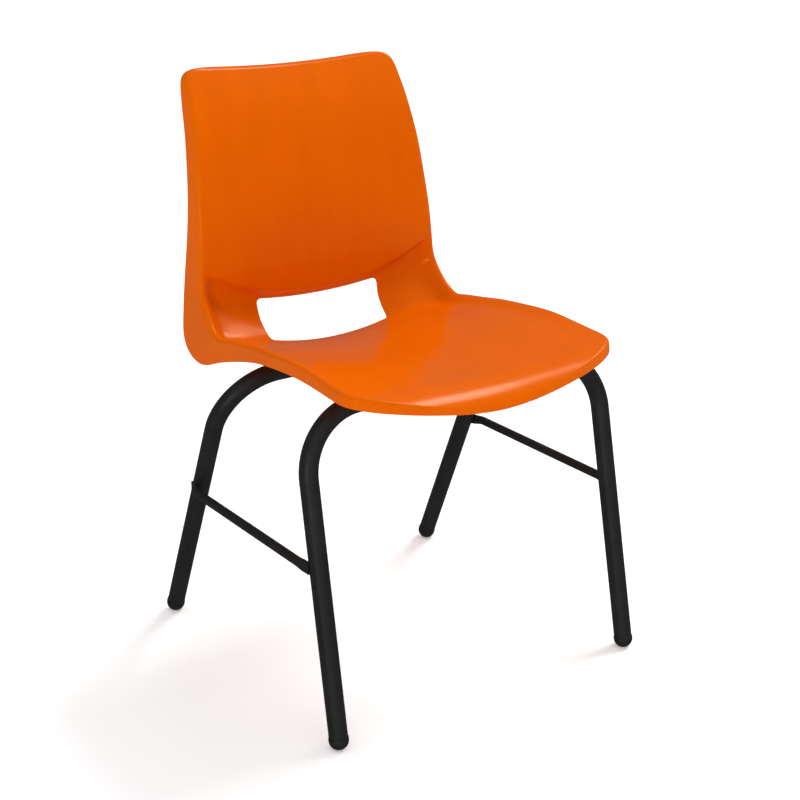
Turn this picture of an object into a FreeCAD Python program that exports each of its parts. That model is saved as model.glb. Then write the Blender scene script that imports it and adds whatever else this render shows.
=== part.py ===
import FreeCAD, Part
import math
import os

import Sketcher

Vector = FreeCAD.Vector
Rotation = FreeCAD.Rotation
Placement = FreeCAD.Placement

# Stacking chair: a one-piece moulded plastic shell screwed to a welded tube frame.
# Frame: origin on the floor under the middle of the chair, +Z up, the sitter faces -Y,
# +X is the sitter's left. All sizes are millimetres.

doc = FreeCAD.newDocument("stacking_chair")

# ---------------------------------------------------------------- driving dimensions
DIMENSIONS = [
    ("leg_tube_dia", 25.4, "outside diameter of both leg frames"),
    ("leg_tube_wall", 1.5, "wall of the leg tube"),
    ("leg_bend_radius", 86.0, "centre-line radius of the frames' upper bends"),
    ("front_foot_x", 245.1, "half the distance between the front feet"),
    ("front_foot_y", -240.7, "front feet"),
    ("front_lean_deg", 11.25, "front frame leans back by this much"),
    ("front_splay_deg", 0.63, "each front leg leans inwards by this much"),
    ("front_cross_z", 433.0, "height of the front cross tube's centre"),
    ("rear_foot_x", 233.9, "half the distance between the rear feet"),
    ("rear_foot_y", 233.7, "rear feet"),
    ("rear_lean_deg", -23.8, "rear frame leans forwards by this much"),
    ("rear_splay_deg", 0.11, "each rear leg leans inwards by this much"),
    ("rear_cross_z", 414.5, "height of the rear cross tube's centre"),
    ("stretcher_dia", 12.7, "outside diameter of the side stretchers"),
    ("stretcher_wall", 1.2, "wall of the stretcher tube"),
    ("stretcher_z", 239.0, "height of the side stretchers"),
    ("stretcher_x", 254.4, "side stretchers' centre line, out from the middle"),
    ("flat_thickness", 4.0, "thickness of a stretcher's pressed end"),
    ("flat_width", 15.5, "height of a stretcher's pressed end"),
    ("neck_length", 18.0, "where a stretcher turns from round to pressed"),
    ("front_flat", 3.0, "pressed end that shows behind a front leg"),
    ("rear_flat", 5.0, "pressed end, before the rear leg's centre line"),
    ("rear_reach", 2.5, "pressed end, past the rear leg's centre line"),
    ("rail_dia", 19.0, "outside diameter of the seat rails"),
    ("rail_wall", 1.5, "wall of the seat rails"),
    ("rail_x", 62.0, "seat rails' centre line, out from the middle"),
    ("mount_x", 112.0, "fixing screws, out from the middle"),
    ("mount_front_y", -126.5, "front fixing screws"),
    ("mount_rear_y", 25.5, "rear fixing screws"),
    ("plate_width", 34.0, "mounting plate, across the chair"),
    ("plate_length", 44.0, "mounting plate, front to back"),
    ("plate_thickness", 3.0, "mounting plate"),
    ("plate_edge", 13.0, "mounting plate, from its screw to its free end"),
    ("plate_hole_dia", 6.6, "clearance hole in a mounting plate"),
    ("screw_dia", 6.0, "fixing screw"),
    ("screw_length", 12.0, "fixing screw, under the head"),
    ("screw_head_dia", 12.0, "pan head"),
    ("screw_head_height", 3.6, "pan head"),
    ("washer_dia", 16.0, "washer under each screw head"),
    ("washer_thickness", 1.5, "washer under each screw head"),
    ("boss_dia", 22.0, "moulded boss under the seat"),
    ("boss_bore", 6.0, "screw bore of a boss"),
    ("boss_reach", 60.0, "more than any boss's height, before it is trimmed to the shell"),
    ("shell_wall", 4.0, "wall of the moulded shell"),
    ("edge_radius", 7.0, "rounding of the shell's side edge"),
    ("front_roll", 50.0, "depth of the rolled front edge"),
    ("top_roll", 7.0, "depth of the rolled top edge"),
    ("front_corner", 70.0, "length of the seat's rounded front corners"),
    ("top_corner", 60.0, "length of the back's rounded top corners"),
    ("crease_z", 484.0, "lower edge of the back panel, at the middle"),
    ("crease_rise", 55.0, "how much higher that edge is at the sides"),
    ("crease_depth", 9.0, "how far the pillars stand behind the back panel"),
    ("plug_dia", 27.0, "lip and dome of a foot plug"),
    ("plug_lip", 4.0, "height of a foot plug's lip"),
    ("plug_stem", 24.0, "length of a foot plug inside the tube"),
]

sheet = doc.addObject("Spreadsheet::Sheet", "dimensions")
for row, (alias, value, meaning) in enumerate(DIMENSIONS, start=1):
    sheet.set("A%d" % row, alias)
    sheet.set("B%d" % row, str(value))
    sheet.set("C%d" % row, meaning)
    sheet.setAlias("B%d" % row, alias)
doc.recompute()


def dim(alias):
    return float(sheet.get(alias))


NODES = []


def node(obj, label):
    obj.Label = label
    NODES.append(obj)
    return obj


def feature(shape, label):
    obj = doc.addObject("Part::Feature", label)
    obj.Shape = shape
    return node(obj, label)


def origin_plane(body, role):
    return [f for f in body.Origin.OriginFeatures if f.Role == role][0]


def sketch_on(body, name, role):
    sketch = body.newObject("Sketcher::SketchObject", name)
    sketch.AttachmentSupport = [(origin_plane(body, role), "")]
    sketch.MapMode = "FlatFace"
    return sketch


# ---------------------------------------------------------------- leg frames
def leg_frame_placement(end):
    """The frame is drawn upright in its own XZ plane, then leans about the line of its feet."""
    lift = dim("leg_tube_dia") / 2
    lean = Rotation(Vector(1, 0, 0), -dim(end + "_lean_deg"))
    return Placement(Vector(0, dim(end + "_foot_y"), lift), lean)


def leg_frame_path(end):
    """Centre line of half the frame: leg, bend and half the cross tube, in the frame's plane."""
    lean = math.radians(dim(end + "_lean_deg"))
    splay = math.radians(dim(end + "_splay_deg"))
    radius = dim("leg_bend_radius")
    foot_x = dim(end + "_foot_x")
    top = (dim(end + "_cross_z") - dim("leg_tube_dia") / 2) / math.cos(lean)
    turn = math.pi / 2 - splay
    centre_z = top - radius
    # The bend starts where the splayed leg is tangent to the bend's circle.
    start_z = centre_z + radius * math.sin(splay)
    start_x = foot_x - start_z * math.tan(splay)
    centre_x = start_x - radius * math.cos(splay)
    middle = splay + turn / 2
    lip = dim("plug_lip")
    foot = Vector(foot_x - lip * math.tan(splay), 0, lip)
    start = Vector(start_x, 0, start_z)
    bend = Vector(centre_x + radius * math.cos(middle), 0, centre_z + radius * math.sin(middle))
    end_point = Vector(centre_x, 0, top)
    return foot, start, bend, end_point


def mirrored(point):
    return Vector(-point.x, point.y, point.z)


def leg_frame_wire(end):
    foot, start, bend, top = leg_frame_path(end)
    edges = [
        Part.LineSegment(foot, start).toShape(),
        Part.Arc(start, bend, top).toShape(),
        Part.LineSegment(top, mirrored(top)).toShape(),
        Part.Arc(mirrored(top), mirrored(bend), mirrored(start)).toShape(),
        Part.LineSegment(mirrored(start), mirrored(foot)).toShape(),
    ]
    return Part.Wire(edges)


def swept_round(wire, radius):
    first = wire.OrderedEdges[0]
    begin = first.valueAt(first.FirstParameter)
    along = first.tangentAt(first.FirstParameter)
    circle = Part.Wire(Part.makeCircle(radius, begin, along))
    return wire.makePipeShell([circle], True, False)


def leg_frame_solid(end, radius):
    solid = swept_round(leg_frame_wire(end), radius)
    solid.Placement = leg_frame_placement(end)
    return solid


def make_leg_frame(end):
    label = end + "_leg_frame"
    outer = doc.addObject("Part::Feature", label + "_outside")
    outer.Shape = swept_round(leg_frame_wire(end), dim("leg_tube_dia") / 2)
    inner = doc.addObject("Part::Feature", label + "_inside")
    inner.Shape = swept_round(leg_frame_wire(end), dim("leg_tube_dia") / 2 - dim("leg_tube_wall"))
    tube = doc.addObject("Part::Cut", label)
    tube.Base = outer
    tube.Tool = inner
    tube.Placement = leg_frame_placement(end)
    return node(tube, label)


# ---------------------------------------------------------------- foot plugs
def make_foot_plug(end, side, sign):
    """A moulded plug: stem in the tube, lip under the tube's end, domed sole with a small flat."""
    label = "%s_%s_foot_plug" % (end, side)
    body = doc.addObject("PartDesign::Body", label + "_turned")
    profile = sketch_on(body, label + "_profile", "XZ_Plane")
    dome = dim("plug_dia") / 2
    lip = dim("plug_lip")
    stem = dim("leg_tube_dia") / 2 - dim("leg_tube_wall")
    length = dim("plug_stem")
    bore = stem - 2.5
    zero = Vector(0, 0, 0)
    corners = [
        Vector(dome, 0, 0),
        Vector(dome, lip, 0),
        Vector(stem, lip, 0),
        Vector(stem, lip + length, 0),
        Vector(bore, lip + length, 0),
        Vector(bore, lip, 0),
        Vector(0, lip, 0),
        Vector(0, -dome, 0),
    ]
    for a, b in zip(corners, corners[1:]):
        profile.addGeometry(Part.LineSegment(a, b), False)
    axis = Vector(0, 0, 1)
    circle = Part.Circle(zero, axis, dome)
    profile.addGeometry(Part.ArcOfCircle(circle, -math.pi / 2, 0), False)
    turned = body.newObject("PartDesign::Revolution", label + "_turning")
    turned.Profile = profile
    turned.ReferenceAxis = (profile, ["V_Axis"])
    turned.Angle = 360
    body.Tip = turned
    body.Placement = foot_placement(end, sign)
    floor = doc.addObject("Part::Box", label + "_floor")
    side_length = 4 * dome
    floor.setExpression("Length", "dimensions.plug_dia * 2")
    floor.setExpression("Width", "dimensions.plug_dia * 2")
    floor.setExpression("Height", "dimensions.plug_dia")
    foot = body.Placement.Base
    floor.Placement.Base = Vector(foot.x - side_length / 2, foot.y - side_length / 2, -2 * dome)
    plug = doc.addObject("Part::Cut", label)
    plug.Base = body
    plug.Tool = floor
    return node(plug, label)


def foot_placement(end, sign):
    """The plug's axis is the leg's own: splayed in the frame's plane, then leaning with it."""
    splay = Rotation(Vector(0, 1, 0), -sign * dim(end + "_splay_deg"))
    local = Placement(Vector(sign * dim(end + "_foot_x"), 0, 0), splay)
    return leg_frame_placement(end).multiply(local)


# ---------------------------------------------------------------- side stretchers
def section_wire(corners, middles):
    """A closed four-edge outline through the corners; an edge with no middle point is straight."""
    edges = []
    for i, middle in enumerate(middles):
        a = corners[i]
        b = corners[(i + 1) % 4]
        curve = Part.Arc(a, middle, b) if middle else Part.LineSegment(a, b)
        edges.append(curve.toShape())
    return Part.Wire(edges)


def round_section(y, x, z, dia):
    """The stretcher's round outline across Y."""
    radius = dia / 2
    reach = radius * math.sqrt(0.5)
    corners = [Vector(x + i * reach, y, z + j * reach) for i, j in ((1, -1), (1, 1), (-1, 1), (-1, -1))]
    middles = [Vector(x + i * radius, y, z + j * radius) for i, j in ((1, 0), (0, 1), (-1, 0), (0, -1))]
    return section_wire(corners, middles)


def flat_section(y, x, z, width, height):
    """The outline of the stretcher's pressed end across Y: two flats and two round edges."""
    radius = width / 2
    reach = height / 2 - radius
    corners = [Vector(x + i * radius, y, z + j * reach) for i, j in ((1, -1), (1, 1), (-1, 1), (-1, -1))]
    middles = [None, Vector(x, y, z + height / 2), None, Vector(x, y, z - height / 2)]
    return section_wire(corners, middles)


def leg_axis_at(end, height):
    """Where the right leg's centre line passes a height above the floor."""
    foot, start, _, _ = leg_frame_path(end)
    place = leg_frame_placement(end)
    low = place.multVec(foot)
    high = place.multVec(start)
    share = (height - low.z) / (high.z - low.z)
    return low + (high - low) * share


def stretcher_shape(leg_solids):
    z = dim("stretcher_z")
    x = dim("stretcher_x")
    dia = dim("stretcher_dia")
    wall = dim("stretcher_wall")
    flat = dim("flat_thickness")
    tall = dim("flat_width")
    leg = dim("leg_tube_dia") / 2
    front = leg_axis_at("front", z)
    rear = leg_axis_at("rear", z)
    neck = dim("neck_length")
    front_flat_y = front.y + leg + dim("front_flat")
    front_round_y = front_flat_y + neck
    rear_flat_y = rear.y - dim("rear_flat")
    rear_round_y = rear_flat_y - neck
    rear_end_y = rear.y + dim("rear_reach")
    rear_flat_x = rear.x + leg + flat / 2
    middle = Part.makeCylinder(
        dia / 2, rear_round_y - front_round_y, Vector(x, front_round_y, z), Vector(0, 1, 0)
    )
    bore = Part.makeCylinder(
        dia / 2 - wall, rear_round_y - front_round_y, Vector(x, front_round_y, z), Vector(0, 1, 0)
    )
    front_neck = Part.makeLoft(
        [
            flat_section(front_flat_y, x, z, flat, tall),
            round_section(front_round_y, x, z, dia),
        ],
        True,
        True,
    )
    rear_neck = Part.makeLoft(
        [
            round_section(rear_round_y, x, z, dia),
            flat_section(rear_flat_y, rear_flat_x, z, flat, tall),
        ],
        True,
        True,
    )
    front_end = Part.Face(flat_section(front.y, x, z, flat, tall))
    front_end = front_end.extrude(Vector(0, front_flat_y - front.y, 0))
    rear_end = Part.Face(flat_section(rear_flat_y, rear_flat_x, z, flat, tall))
    rear_end = rear_end.extrude(Vector(0, rear_end_y - rear_flat_y, 0))
    bar = middle.cut(bore).fuse([front_neck, rear_neck, front_end, rear_end]).removeSplitter()
    for leg_solid in leg_solids:
        bar = bar.cut(leg_solid)
    return max(bar.Solids, key=lambda solid: solid.Volume)


# ---------------------------------------------------------------- seat rails
def rail_shape(leg_solids):
    """A short tube under the seat from cross tube to cross tube, coped around both."""
    front = cross_tube_centre("front")
    rear = cross_tube_centre("rear")
    begin = Vector(dim("rail_x"), front.y, front.z)
    along = rear - front
    outer = Part.makeCylinder(dim("rail_dia") / 2, along.Length, begin, along)
    inner = Part.makeCylinder(dim("rail_dia") / 2 - dim("rail_wall"), along.Length, begin, along)
    tube = outer.cut(inner)
    for leg_solid in leg_solids:
        tube = tube.cut(leg_solid)
    return max(tube.Solids, key=lambda solid: solid.Volume)


def cross_tube_centre(end):
    top = leg_frame_path(end)[3]
    return leg_frame_placement(end).multVec(Vector(0, 0, top.z))


# ---------------------------------------------------------------- fixing hardware
def plate_top(end):
    return cross_tube_centre(end).z + dim("leg_tube_dia") / 2 + dim("plate_thickness")


def mount_points():
    points = []
    for end in ("front", "rear"):
        for side, sign in (("left", 1), ("right", -1)):
            place = Vector(sign * dim("mount_x"), dim("mount_%s_y" % end), plate_top(end))
            points.append((end, side, place))
    return points


def make_mounting_plate(end, side, point):
    """A flat steel tab welded along the top of the cross tube, holed for the fixing screw."""
    label = "%s_%s_mounting_plate" % (end, side)
    body = doc.addObject("PartDesign::Body", label)
    outline = sketch_on(body, label + "_outline", "XY_Plane")
    half = dim("plate_width") / 2
    length = dim("plate_length")
    towards_tube = -1 if end == "front" else 1
    near = -towards_tube * dim("plate_edge")
    far = near + towards_tube * length
    corners = [Vector(-half, near, 0), Vector(half, near, 0), Vector(half, far, 0), Vector(-half, far, 0)]
    for a, b in zip(corners, corners[1:] + corners[:1]):
        outline.addGeometry(Part.LineSegment(a, b), False)
    hole = Part.Circle(Vector(0, 0, 0), Vector(0, 0, 1), dim("plate_hole_dia") / 2)
    index = outline.addGeometry(hole, False)
    radius = outline.addConstraint(Sketcher.Constraint("Radius", index, dim("plate_hole_dia") / 2))
    outline.setExpression("Constraints[%d]" % radius, "dimensions.plate_hole_dia / 2")
    pad = body.newObject("PartDesign::Pad", label + "_thickness")
    pad.Profile = outline
    pad.Reversed = True
    pad.setExpression("Length", "dimensions.plate_thickness")
    body.Tip = pad
    body.Placement.Base = point
    return node(body, label)


def screw_shape():
    """Pan-head screw, point up, with its head's bearing face at z = 0 and a cross recess."""
    shank = Part.makeCylinder(dim("screw_dia") / 2, dim("screw_length"))
    head_radius = dim("screw_head_dia") / 2
    height = dim("screw_head_height")
    head = Part.makeCylinder(head_radius, height, Vector(0, 0, -height))
    rim = [edge for edge in head.Edges if abs(edge.BoundBox.ZMax + height) < 0.01 and edge.Length > 30]
    head = head.makeFillet(height * 0.6, rim)
    depth = 2.0
    slot_length = 6.0
    slot_width = 1.3
    recess = Part.makeBox(
        slot_length, slot_width, depth, Vector(-slot_length / 2, -slot_width / 2, -height)
    )
    turned = recess.copy()
    turned.rotate(Vector(0, 0, 0), Vector(0, 0, 1), 90)
    return shank.fuse(head).removeSplitter().cut(recess.fuse(turned))


def washer_shape():
    disc = Part.makeCylinder(dim("washer_dia") / 2, dim("washer_thickness"))
    hole = Part.makeCylinder(dim("screw_dia") / 2 + 0.2, dim("washer_thickness"))
    return disc.cut(hole)


def hardware_group(shape, label, drop):
    copies = []
    for _, _, point in mount_points():
        copy = shape.copy()
        copy.translate(point - Vector(0, 0, drop))
        copies.append(copy)
    return feature(Part.makeCompound(copies), label)


# ---------------------------------------------------------------- moulded shell
# The shell is a channel of changing section. Each station is one section, seen from the side:
# the flange's free edge (edge_y, edge_z), the ridge where flange and panel meet
# (ridge_y, ridge_z), the half width there, how far the panel's middle lies below the ridge,
# and how much of that drop is in the raised rim beside the ridge.
STATIONS = [
    (-266, 457, -266, 470, 215, 14, 0),
    (-203.5, 457.5, -203.5, 473.5, 215, 17, 1),
    (-153.5, 460, -153.5, 477.5, 213.5, 21, 2),
    (-98.5, 461.5, -98.5, 480.5, 212.5, 24, 4),
    (-43.5, 458, -43.5, 477.5, 211, 24, 6),
    (11.5, 450.5, 11.5, 472.5, 208.5, 24, 7),
    (51.5, 441, 49.5, 467, 206.5, 24, 8),
    (94.5, 429, 88.5, 461.5, 205.5, 25, 10),
    (133, 416, 114, 457.5, 207, 30, 13),
    (162, 407, 126, 460, 208, 40, 15),
    (186, 408, 134.5, 464, 208, 38, 15),
    (207.5, 417, 144.5, 471, 206.8, 28, 15),
    (223, 440, 158.3, 486, 204.7, 18, 12),
    (222.7, 462, 165.8, 496, 203.9, 11, 9),
    (221.5, 485, 170.9, 507, 202.8, 8, 4),
    (219.1, 515, 173, 527, 201.2, 8, 0),
    (212.9, 580, 176.9, 582, 197.4, 8, 0),
    (214.8, 630, 184.3, 632, 192.9, 8, 0),
    (223.8, 685, 195.4, 688, 187.6, 8, 0),
    (237, 727, 207.7, 730, 182, 8, 0),
    (251, 770.4, 228.8, 773.4, 177.8, 7, 0),
    (260.2, 806.8, 251.7, 808.8, 172.5, 6, 0),
]
PLAN_POWER_FRONT = 2.65
PLAN_POWER_TOP = 8.0
FRONT_BASE_DROP = 31.5
TOP_BASE_DROP = 6.0
LEAST_RISE = 0.4
TOP_EDGE_SAG = 6.0
SAG_WIDTH = 150.0
CREASE_POWER = 2.2
CREASE_SPAN = 195.0
CREASE_BAND = 12.0
CREASE_FADE = 75.0
CREASE_RUNOUT = 40.0
CREASE_MARGIN = 3.0
CREASE_SIDE = 25.0
CREASE_FROM_Y = 150.0
RIM_WIDTH = 24.0
RIM_MARGIN = 4.0
DISH_SOFTNESS = 0.3

# The hand-hold slot: its chord's ends (y, z), then points (x, distance up the chord).
SLOT_LOW = (157.5, 412)
SLOT_HIGH = (186.5, 476)
SLOT_BOTTOM = ((-101, 11), (0, 0), (101, 11))
SLOT_TOP = ((105, 75), (0, 70), (-105, 75))
SLOT_CUT = 140.0
SLOT_CORNER = 7.0
BORE_SPARE = 0.5


def ease(q):
    q = min(max(q, 0.0), 1.0)
    return q * q * (3 - 2 * q)


def dish_share(s):
    """How far up the dish a point is: 0 in the middle, 1 at the ridge, nearly straight between."""
    soft = DISH_SOFTNESS
    return (math.sqrt(s * s + soft * soft) - soft) / (math.sqrt(1 + soft * soft) - soft)


def clamped_knots(pole_count, degree):
    """Evenly spaced knots of a spline that starts and ends on its first and last poles."""
    spans = pole_count - degree
    knots = [i / spans for i in range(spans + 1)]
    counts = [degree + 1] + [1] * (spans - 1) + [degree + 1]
    return knots, counts


class ShellSkin:
    """One skin of the shell: the outer one, or with an inset, the one a wall's thickness inside."""

    def __init__(self, inset):
        self.inset = inset
        middles = [((e0 + r0) / 2, (e1 + r1) / 2) for e0, e1, r0, r1, _, _, _ in STATIONS]
        marks = [0.0]
        for a, b in zip(middles, middles[1:]):
            marks.append(marks[-1] + math.hypot(b[0] - a[0], b[1] - a[1]))
        self.marks = marks
        self.length = marks[-1]
        self.edge = self.through([Vector(s[0], s[1], 0) for s in STATIONS])
        self.ridge = self.through([Vector(s[2], s[3], 0) for s in STATIONS])
        self.form = self.through([Vector(s[4], s[5], s[6]) for s in STATIONS])

    def through(self, points):
        curve = Part.BSplineCurve()
        curve.interpolate(Points=points, Parameters=self.marks)
        return curve

    def end_height(self, v):
        """Share of the full height left at v: it falls to nothing round the front and top edges."""
        roll = dim("front_roll")
        from_end = v
        if self.length - v < v:
            roll = dim("top_roll")
            from_end = self.length - v
        roll -= self.inset
        left = min(max((from_end - self.inset) / roll, 0.0), 1.0)
        return math.sqrt(1 - (1 - left) ** 2)

    def half_width(self, v, full):
        """Half width at v, with the rounded corners of the seat's front and the back's top."""
        front = dim("front_corner")
        top = dim("top_corner")
        almost = 0.995
        if v < front:
            reach = almost * (front - v) / (front - self.inset)
            return full * (1 - reach ** PLAN_POWER_FRONT) ** (1 / PLAN_POWER_FRONT)
        if v > self.length - top:
            reach = almost * (v - self.length + top) / (top - self.inset)
            return full * (1 - reach ** PLAN_POWER_TOP) ** (1 / PLAN_POWER_TOP)
        return full

    def row(self, v):
        """Points across the shell at v, from the left flange's free edge to the right one's."""
        edge = self.edge.value(v)
        ridge = self.ridge.value(v)
        form = self.form.value(v)
        up = ridge - edge
        height = up.Length
        up.normalize()
        full, dish, rim = form.x, form.y, max(form.z, 0.0)
        half = self.half_width(v, full) - self.inset
        radius = max(min(dim("edge_radius"), 0.7 * height) - self.inset, 1.0)
        share = self.end_height(v)
        base_drop = FRONT_BASE_DROP if v < self.length / 2 else TOP_BASE_DROP
        at_edge = min((half + self.inset) / full, 1.0)
        foot = -base_drop * (1 - dish_share(at_edge))

        def panel(x):
            s = abs(x) / full
            drop = dish * (1 - dish_share(s)) + rim * ease((half - abs(x) - RIM_MARGIN) / RIM_WIDTH)
            return height - self.inset - drop

        flat = half - radius
        crown = panel(flat)
        wall = []
        for step in range(4):
            q = step / 4
            wall.append((half + 1 - q, crown - radius, q))
        for step in range(4):
            angle = step / 4 * math.pi / 2
            wall.append((flat + radius * math.cos(angle), crown - radius + radius * math.sin(angle), 1.0))
        count = 25
        across = [flat * math.sin((i / (count - 1) - 0.5) * math.pi) for i in range(count)]
        line = [(-x, h, q) for x, h, q in wall] + [(x, panel(x), None) for x in across] + wall[::-1]
        top_sag = ease((v - self.length + dim("top_corner")) / dim("top_corner"))
        points = []
        for x, h, q in line:
            base = -base_drop * (1 - dish_share(abs(x) / full))
            h = base * (1 - share) + h * share
            if q is not None:
                h = foot + (max(h, foot + LEAST_RISE * share) - foot) * q
            point = edge + up * h
            line_z = dim("crease_z") + dim("crease_rise") * (abs(x) / CREASE_SPAN) ** CREASE_POWER
            under = line_z - point.y
            inside = ease((half - CREASE_MARGIN - abs(x)) / CREASE_SIDE)
            recess = dim("crease_depth") * ease(under / CREASE_BAND)
            recess *= ease((CREASE_FADE - under) / CREASE_RUNOUT)
            if edge.x > CREASE_FROM_Y:
                point = point - up * (recess * inside)
            sag = TOP_EDGE_SAG * (1 - (x / SAG_WIDTH) ** 2) * top_sag
            points.append(Vector(x, point.x, point.y - sag))
        return points

    def stops(self):
        """Places along the shell, close together round the front and top edges."""
        ends = 9
        front = dim("front_corner")
        top = dim("top_corner")
        first = self.inset
        last = self.length - self.inset
        stops = []
        for i in range(ends):
            stops.append(first + (front - first) * (1 - math.cos(i / ends * math.pi / 2)))
        middle = 44
        for i in range(middle + 1):
            stops.append(front + (self.length - top - front) * i / middle)
        for i in range(ends - 1, -1, -1):
            stops.append(last - (top - self.inset) * (1 - math.cos(i / ends * math.pi / 2)))
        return stops

    def face(self):
        """A cubic surface with the rows as its control net, so it never swings past them."""
        poles = [self.row(v) for v in self.stops()]
        degree = 3
        row_knots, row_counts = clamped_knots(len(poles), degree)
        cross_knots, cross_counts = clamped_knots(len(poles[0]), degree)
        surface = Part.BSplineSurface()
        surface.buildFromPolesMultsKnots(
            poles, row_counts, cross_counts, row_knots, cross_knots, False, False, degree, degree
        )
        return surface.toShape()


def shell_blank():
    outer = ShellSkin(0.0).face()
    inner = ShellSkin(dim("shell_wall")).face()
    faces = [outer, inner]
    for outer_edge, inner_edge in zip(outer.Edges, inner.Edges):
        faces.append(Part.makeRuledSurface(outer_edge, inner_edge))
    shell = Part.Shell(faces)
    shell.sewShape()
    solid = Part.Solid(shell)
    if solid.Volume < 0:
        solid.reverse()
    return solid


def slot_cutter():
    """The hand-hold slot: a smile-shaped opening, cut square to the shell between seat and back."""
    low = Vector(0, *SLOT_LOW)
    high = Vector(0, *SLOT_HIGH)
    up = (high - low).normalize()
    out = Vector(0, -up.z, up.y)

    def at(x, s):
        return Vector(x, 0, 0) + low + up * s

    bottom = [at(x, s) for x, s in SLOT_BOTTOM]
    top = [at(x, s) for x, s in SLOT_TOP]
    edges = [
        Part.Arc(*bottom).toShape(),
        Part.LineSegment(bottom[2], top[0]).toShape(),
        Part.Arc(*top).toShape(),
        Part.LineSegment(top[2], bottom[0]).toShape(),
    ]
    prism = Part.Face(Part.Wire(edges))
    prism.translate(out * -SLOT_CUT / 2)
    prism = prism.extrude(out * SLOT_CUT)
    straight = [edge for edge in prism.Edges if edge.Curve.TypeId == "Part::GeomLine"]
    corners = [edge for edge in straight if abs(edge.Length - SLOT_CUT) < 0.5]
    return prism.makeFillet(SLOT_CORNER, corners)


def boss_shape(point, blank):
    """A moulded boss from the mounting plate up into the shell's wall, bored for the screw."""
    boss = Part.makeCylinder(dim("boss_dia") / 2, dim("boss_reach"), point)
    bore_height = dim("screw_length") - dim("plate_thickness") - dim("washer_thickness")
    bore = Part.makeCylinder(dim("boss_bore") / 2, bore_height + BORE_SPARE, point)
    below = boss.cut(blank)
    lowest = min(below.Solids, key=lambda solid: solid.BoundBox.ZMin)
    return lowest, bore


def make_seat_shell():
    blank = shell_blank()
    shell = blank.cut(slot_cutter())
    bosses = [boss_shape(point, blank) for _, _, point in mount_points()]
    shell = shell.fuse([boss for boss, _ in bosses])
    for _, bore in bosses:
        shell = shell.cut(bore)
    return feature(max(shell.Solids, key=lambda solid: solid.Volume), "seat_shell")


# ---------------------------------------------------------------- assembly
leg_solids = [leg_frame_solid(end, dim("leg_tube_dia") / 2) for end in ("front", "rear")]

make_seat_shell()
for end in ("front", "rear"):
    make_leg_frame(end)
    for side, sign in (("left", 1), ("right", -1)):
        make_foot_plug(end, side, sign)

across = (Vector(0, 0, 0), Vector(1, 0, 0))
left_stretcher = stretcher_shape(leg_solids)
feature(left_stretcher, "left_stretcher")
feature(left_stretcher.mirror(*across), "right_stretcher")
left_rail = rail_shape(leg_solids)
feature(left_rail, "left_seat_rail")
feature(left_rail.mirror(*across), "right_seat_rail")

for end, side, point in mount_points():
    make_mounting_plate(end, side, point)
hardware_group(washer_shape(), "fixing_washers", dim("plate_thickness") + dim("washer_thickness"))
hardware_group(screw_shape(), "fixing_screws", dim("plate_thickness") + dim("washer_thickness"))

# ---------------------------------------------------------------- checks and export
doc.recompute()
for obj in doc.Objects:
    if "Invalid" in obj.State or "Error" in obj.State:
        raise RuntimeError("%s did not recompute: %s" % (obj.Label, obj.State))

os.makedirs("parts", exist_ok=True)
for obj in NODES:
    shape = obj.Shape
    if shape.isNull() or not shape.isValid():
        raise RuntimeError("%s has no valid shape" % obj.Label)
    shape.exportStep("parts/%s.step" % obj.Label)
    box = shape.BoundBox
    print(
        "%-28s solids %d volume %9.0f  x %7.1f %7.1f  y %7.1f %7.1f  z %7.1f %7.1f"
        % (obj.Label, len(shape.Solids), shape.Volume, box.XMin, box.XMax, box.YMin, box.YMax, box.ZMin, box.ZMax)
    )
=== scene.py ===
import logging
import math
from dataclasses import dataclass, field
from enum import Enum
from typing import Any, Sequence

import bmesh
import bpy
import numpy as np
from mathutils import Euler, Matrix, Vector
from mathutils.bvhtree import BVHTree


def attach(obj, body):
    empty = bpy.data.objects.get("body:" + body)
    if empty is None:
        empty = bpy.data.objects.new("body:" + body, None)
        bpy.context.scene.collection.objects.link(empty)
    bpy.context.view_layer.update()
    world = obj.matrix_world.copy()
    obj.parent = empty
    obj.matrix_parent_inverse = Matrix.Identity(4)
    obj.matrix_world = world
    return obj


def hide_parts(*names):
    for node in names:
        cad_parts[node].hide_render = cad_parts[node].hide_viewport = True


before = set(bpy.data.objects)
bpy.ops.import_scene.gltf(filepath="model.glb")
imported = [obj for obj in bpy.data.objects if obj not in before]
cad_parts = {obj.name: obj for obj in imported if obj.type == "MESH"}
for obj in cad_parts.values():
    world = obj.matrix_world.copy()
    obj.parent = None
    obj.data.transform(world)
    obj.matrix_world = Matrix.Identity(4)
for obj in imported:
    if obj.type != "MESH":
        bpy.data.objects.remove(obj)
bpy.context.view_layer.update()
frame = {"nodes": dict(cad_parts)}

MM = 0.001
BODY = "root"
log = logging.getLogger("stacking_chair")


class Side(Enum):
    """The chair's two sides, as the sign of X."""

    LEFT = 1
    RIGHT = -1


class End(Enum):
    """The chair's two ends, by name."""

    FRONT = "front"
    REAR = "rear"


class Slot(Enum):
    """The record's material slots."""

    SHELL = "shell"
    FRAME = "frame"
    HARDWARE = "hardware"
    PLUG = "plug"


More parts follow.
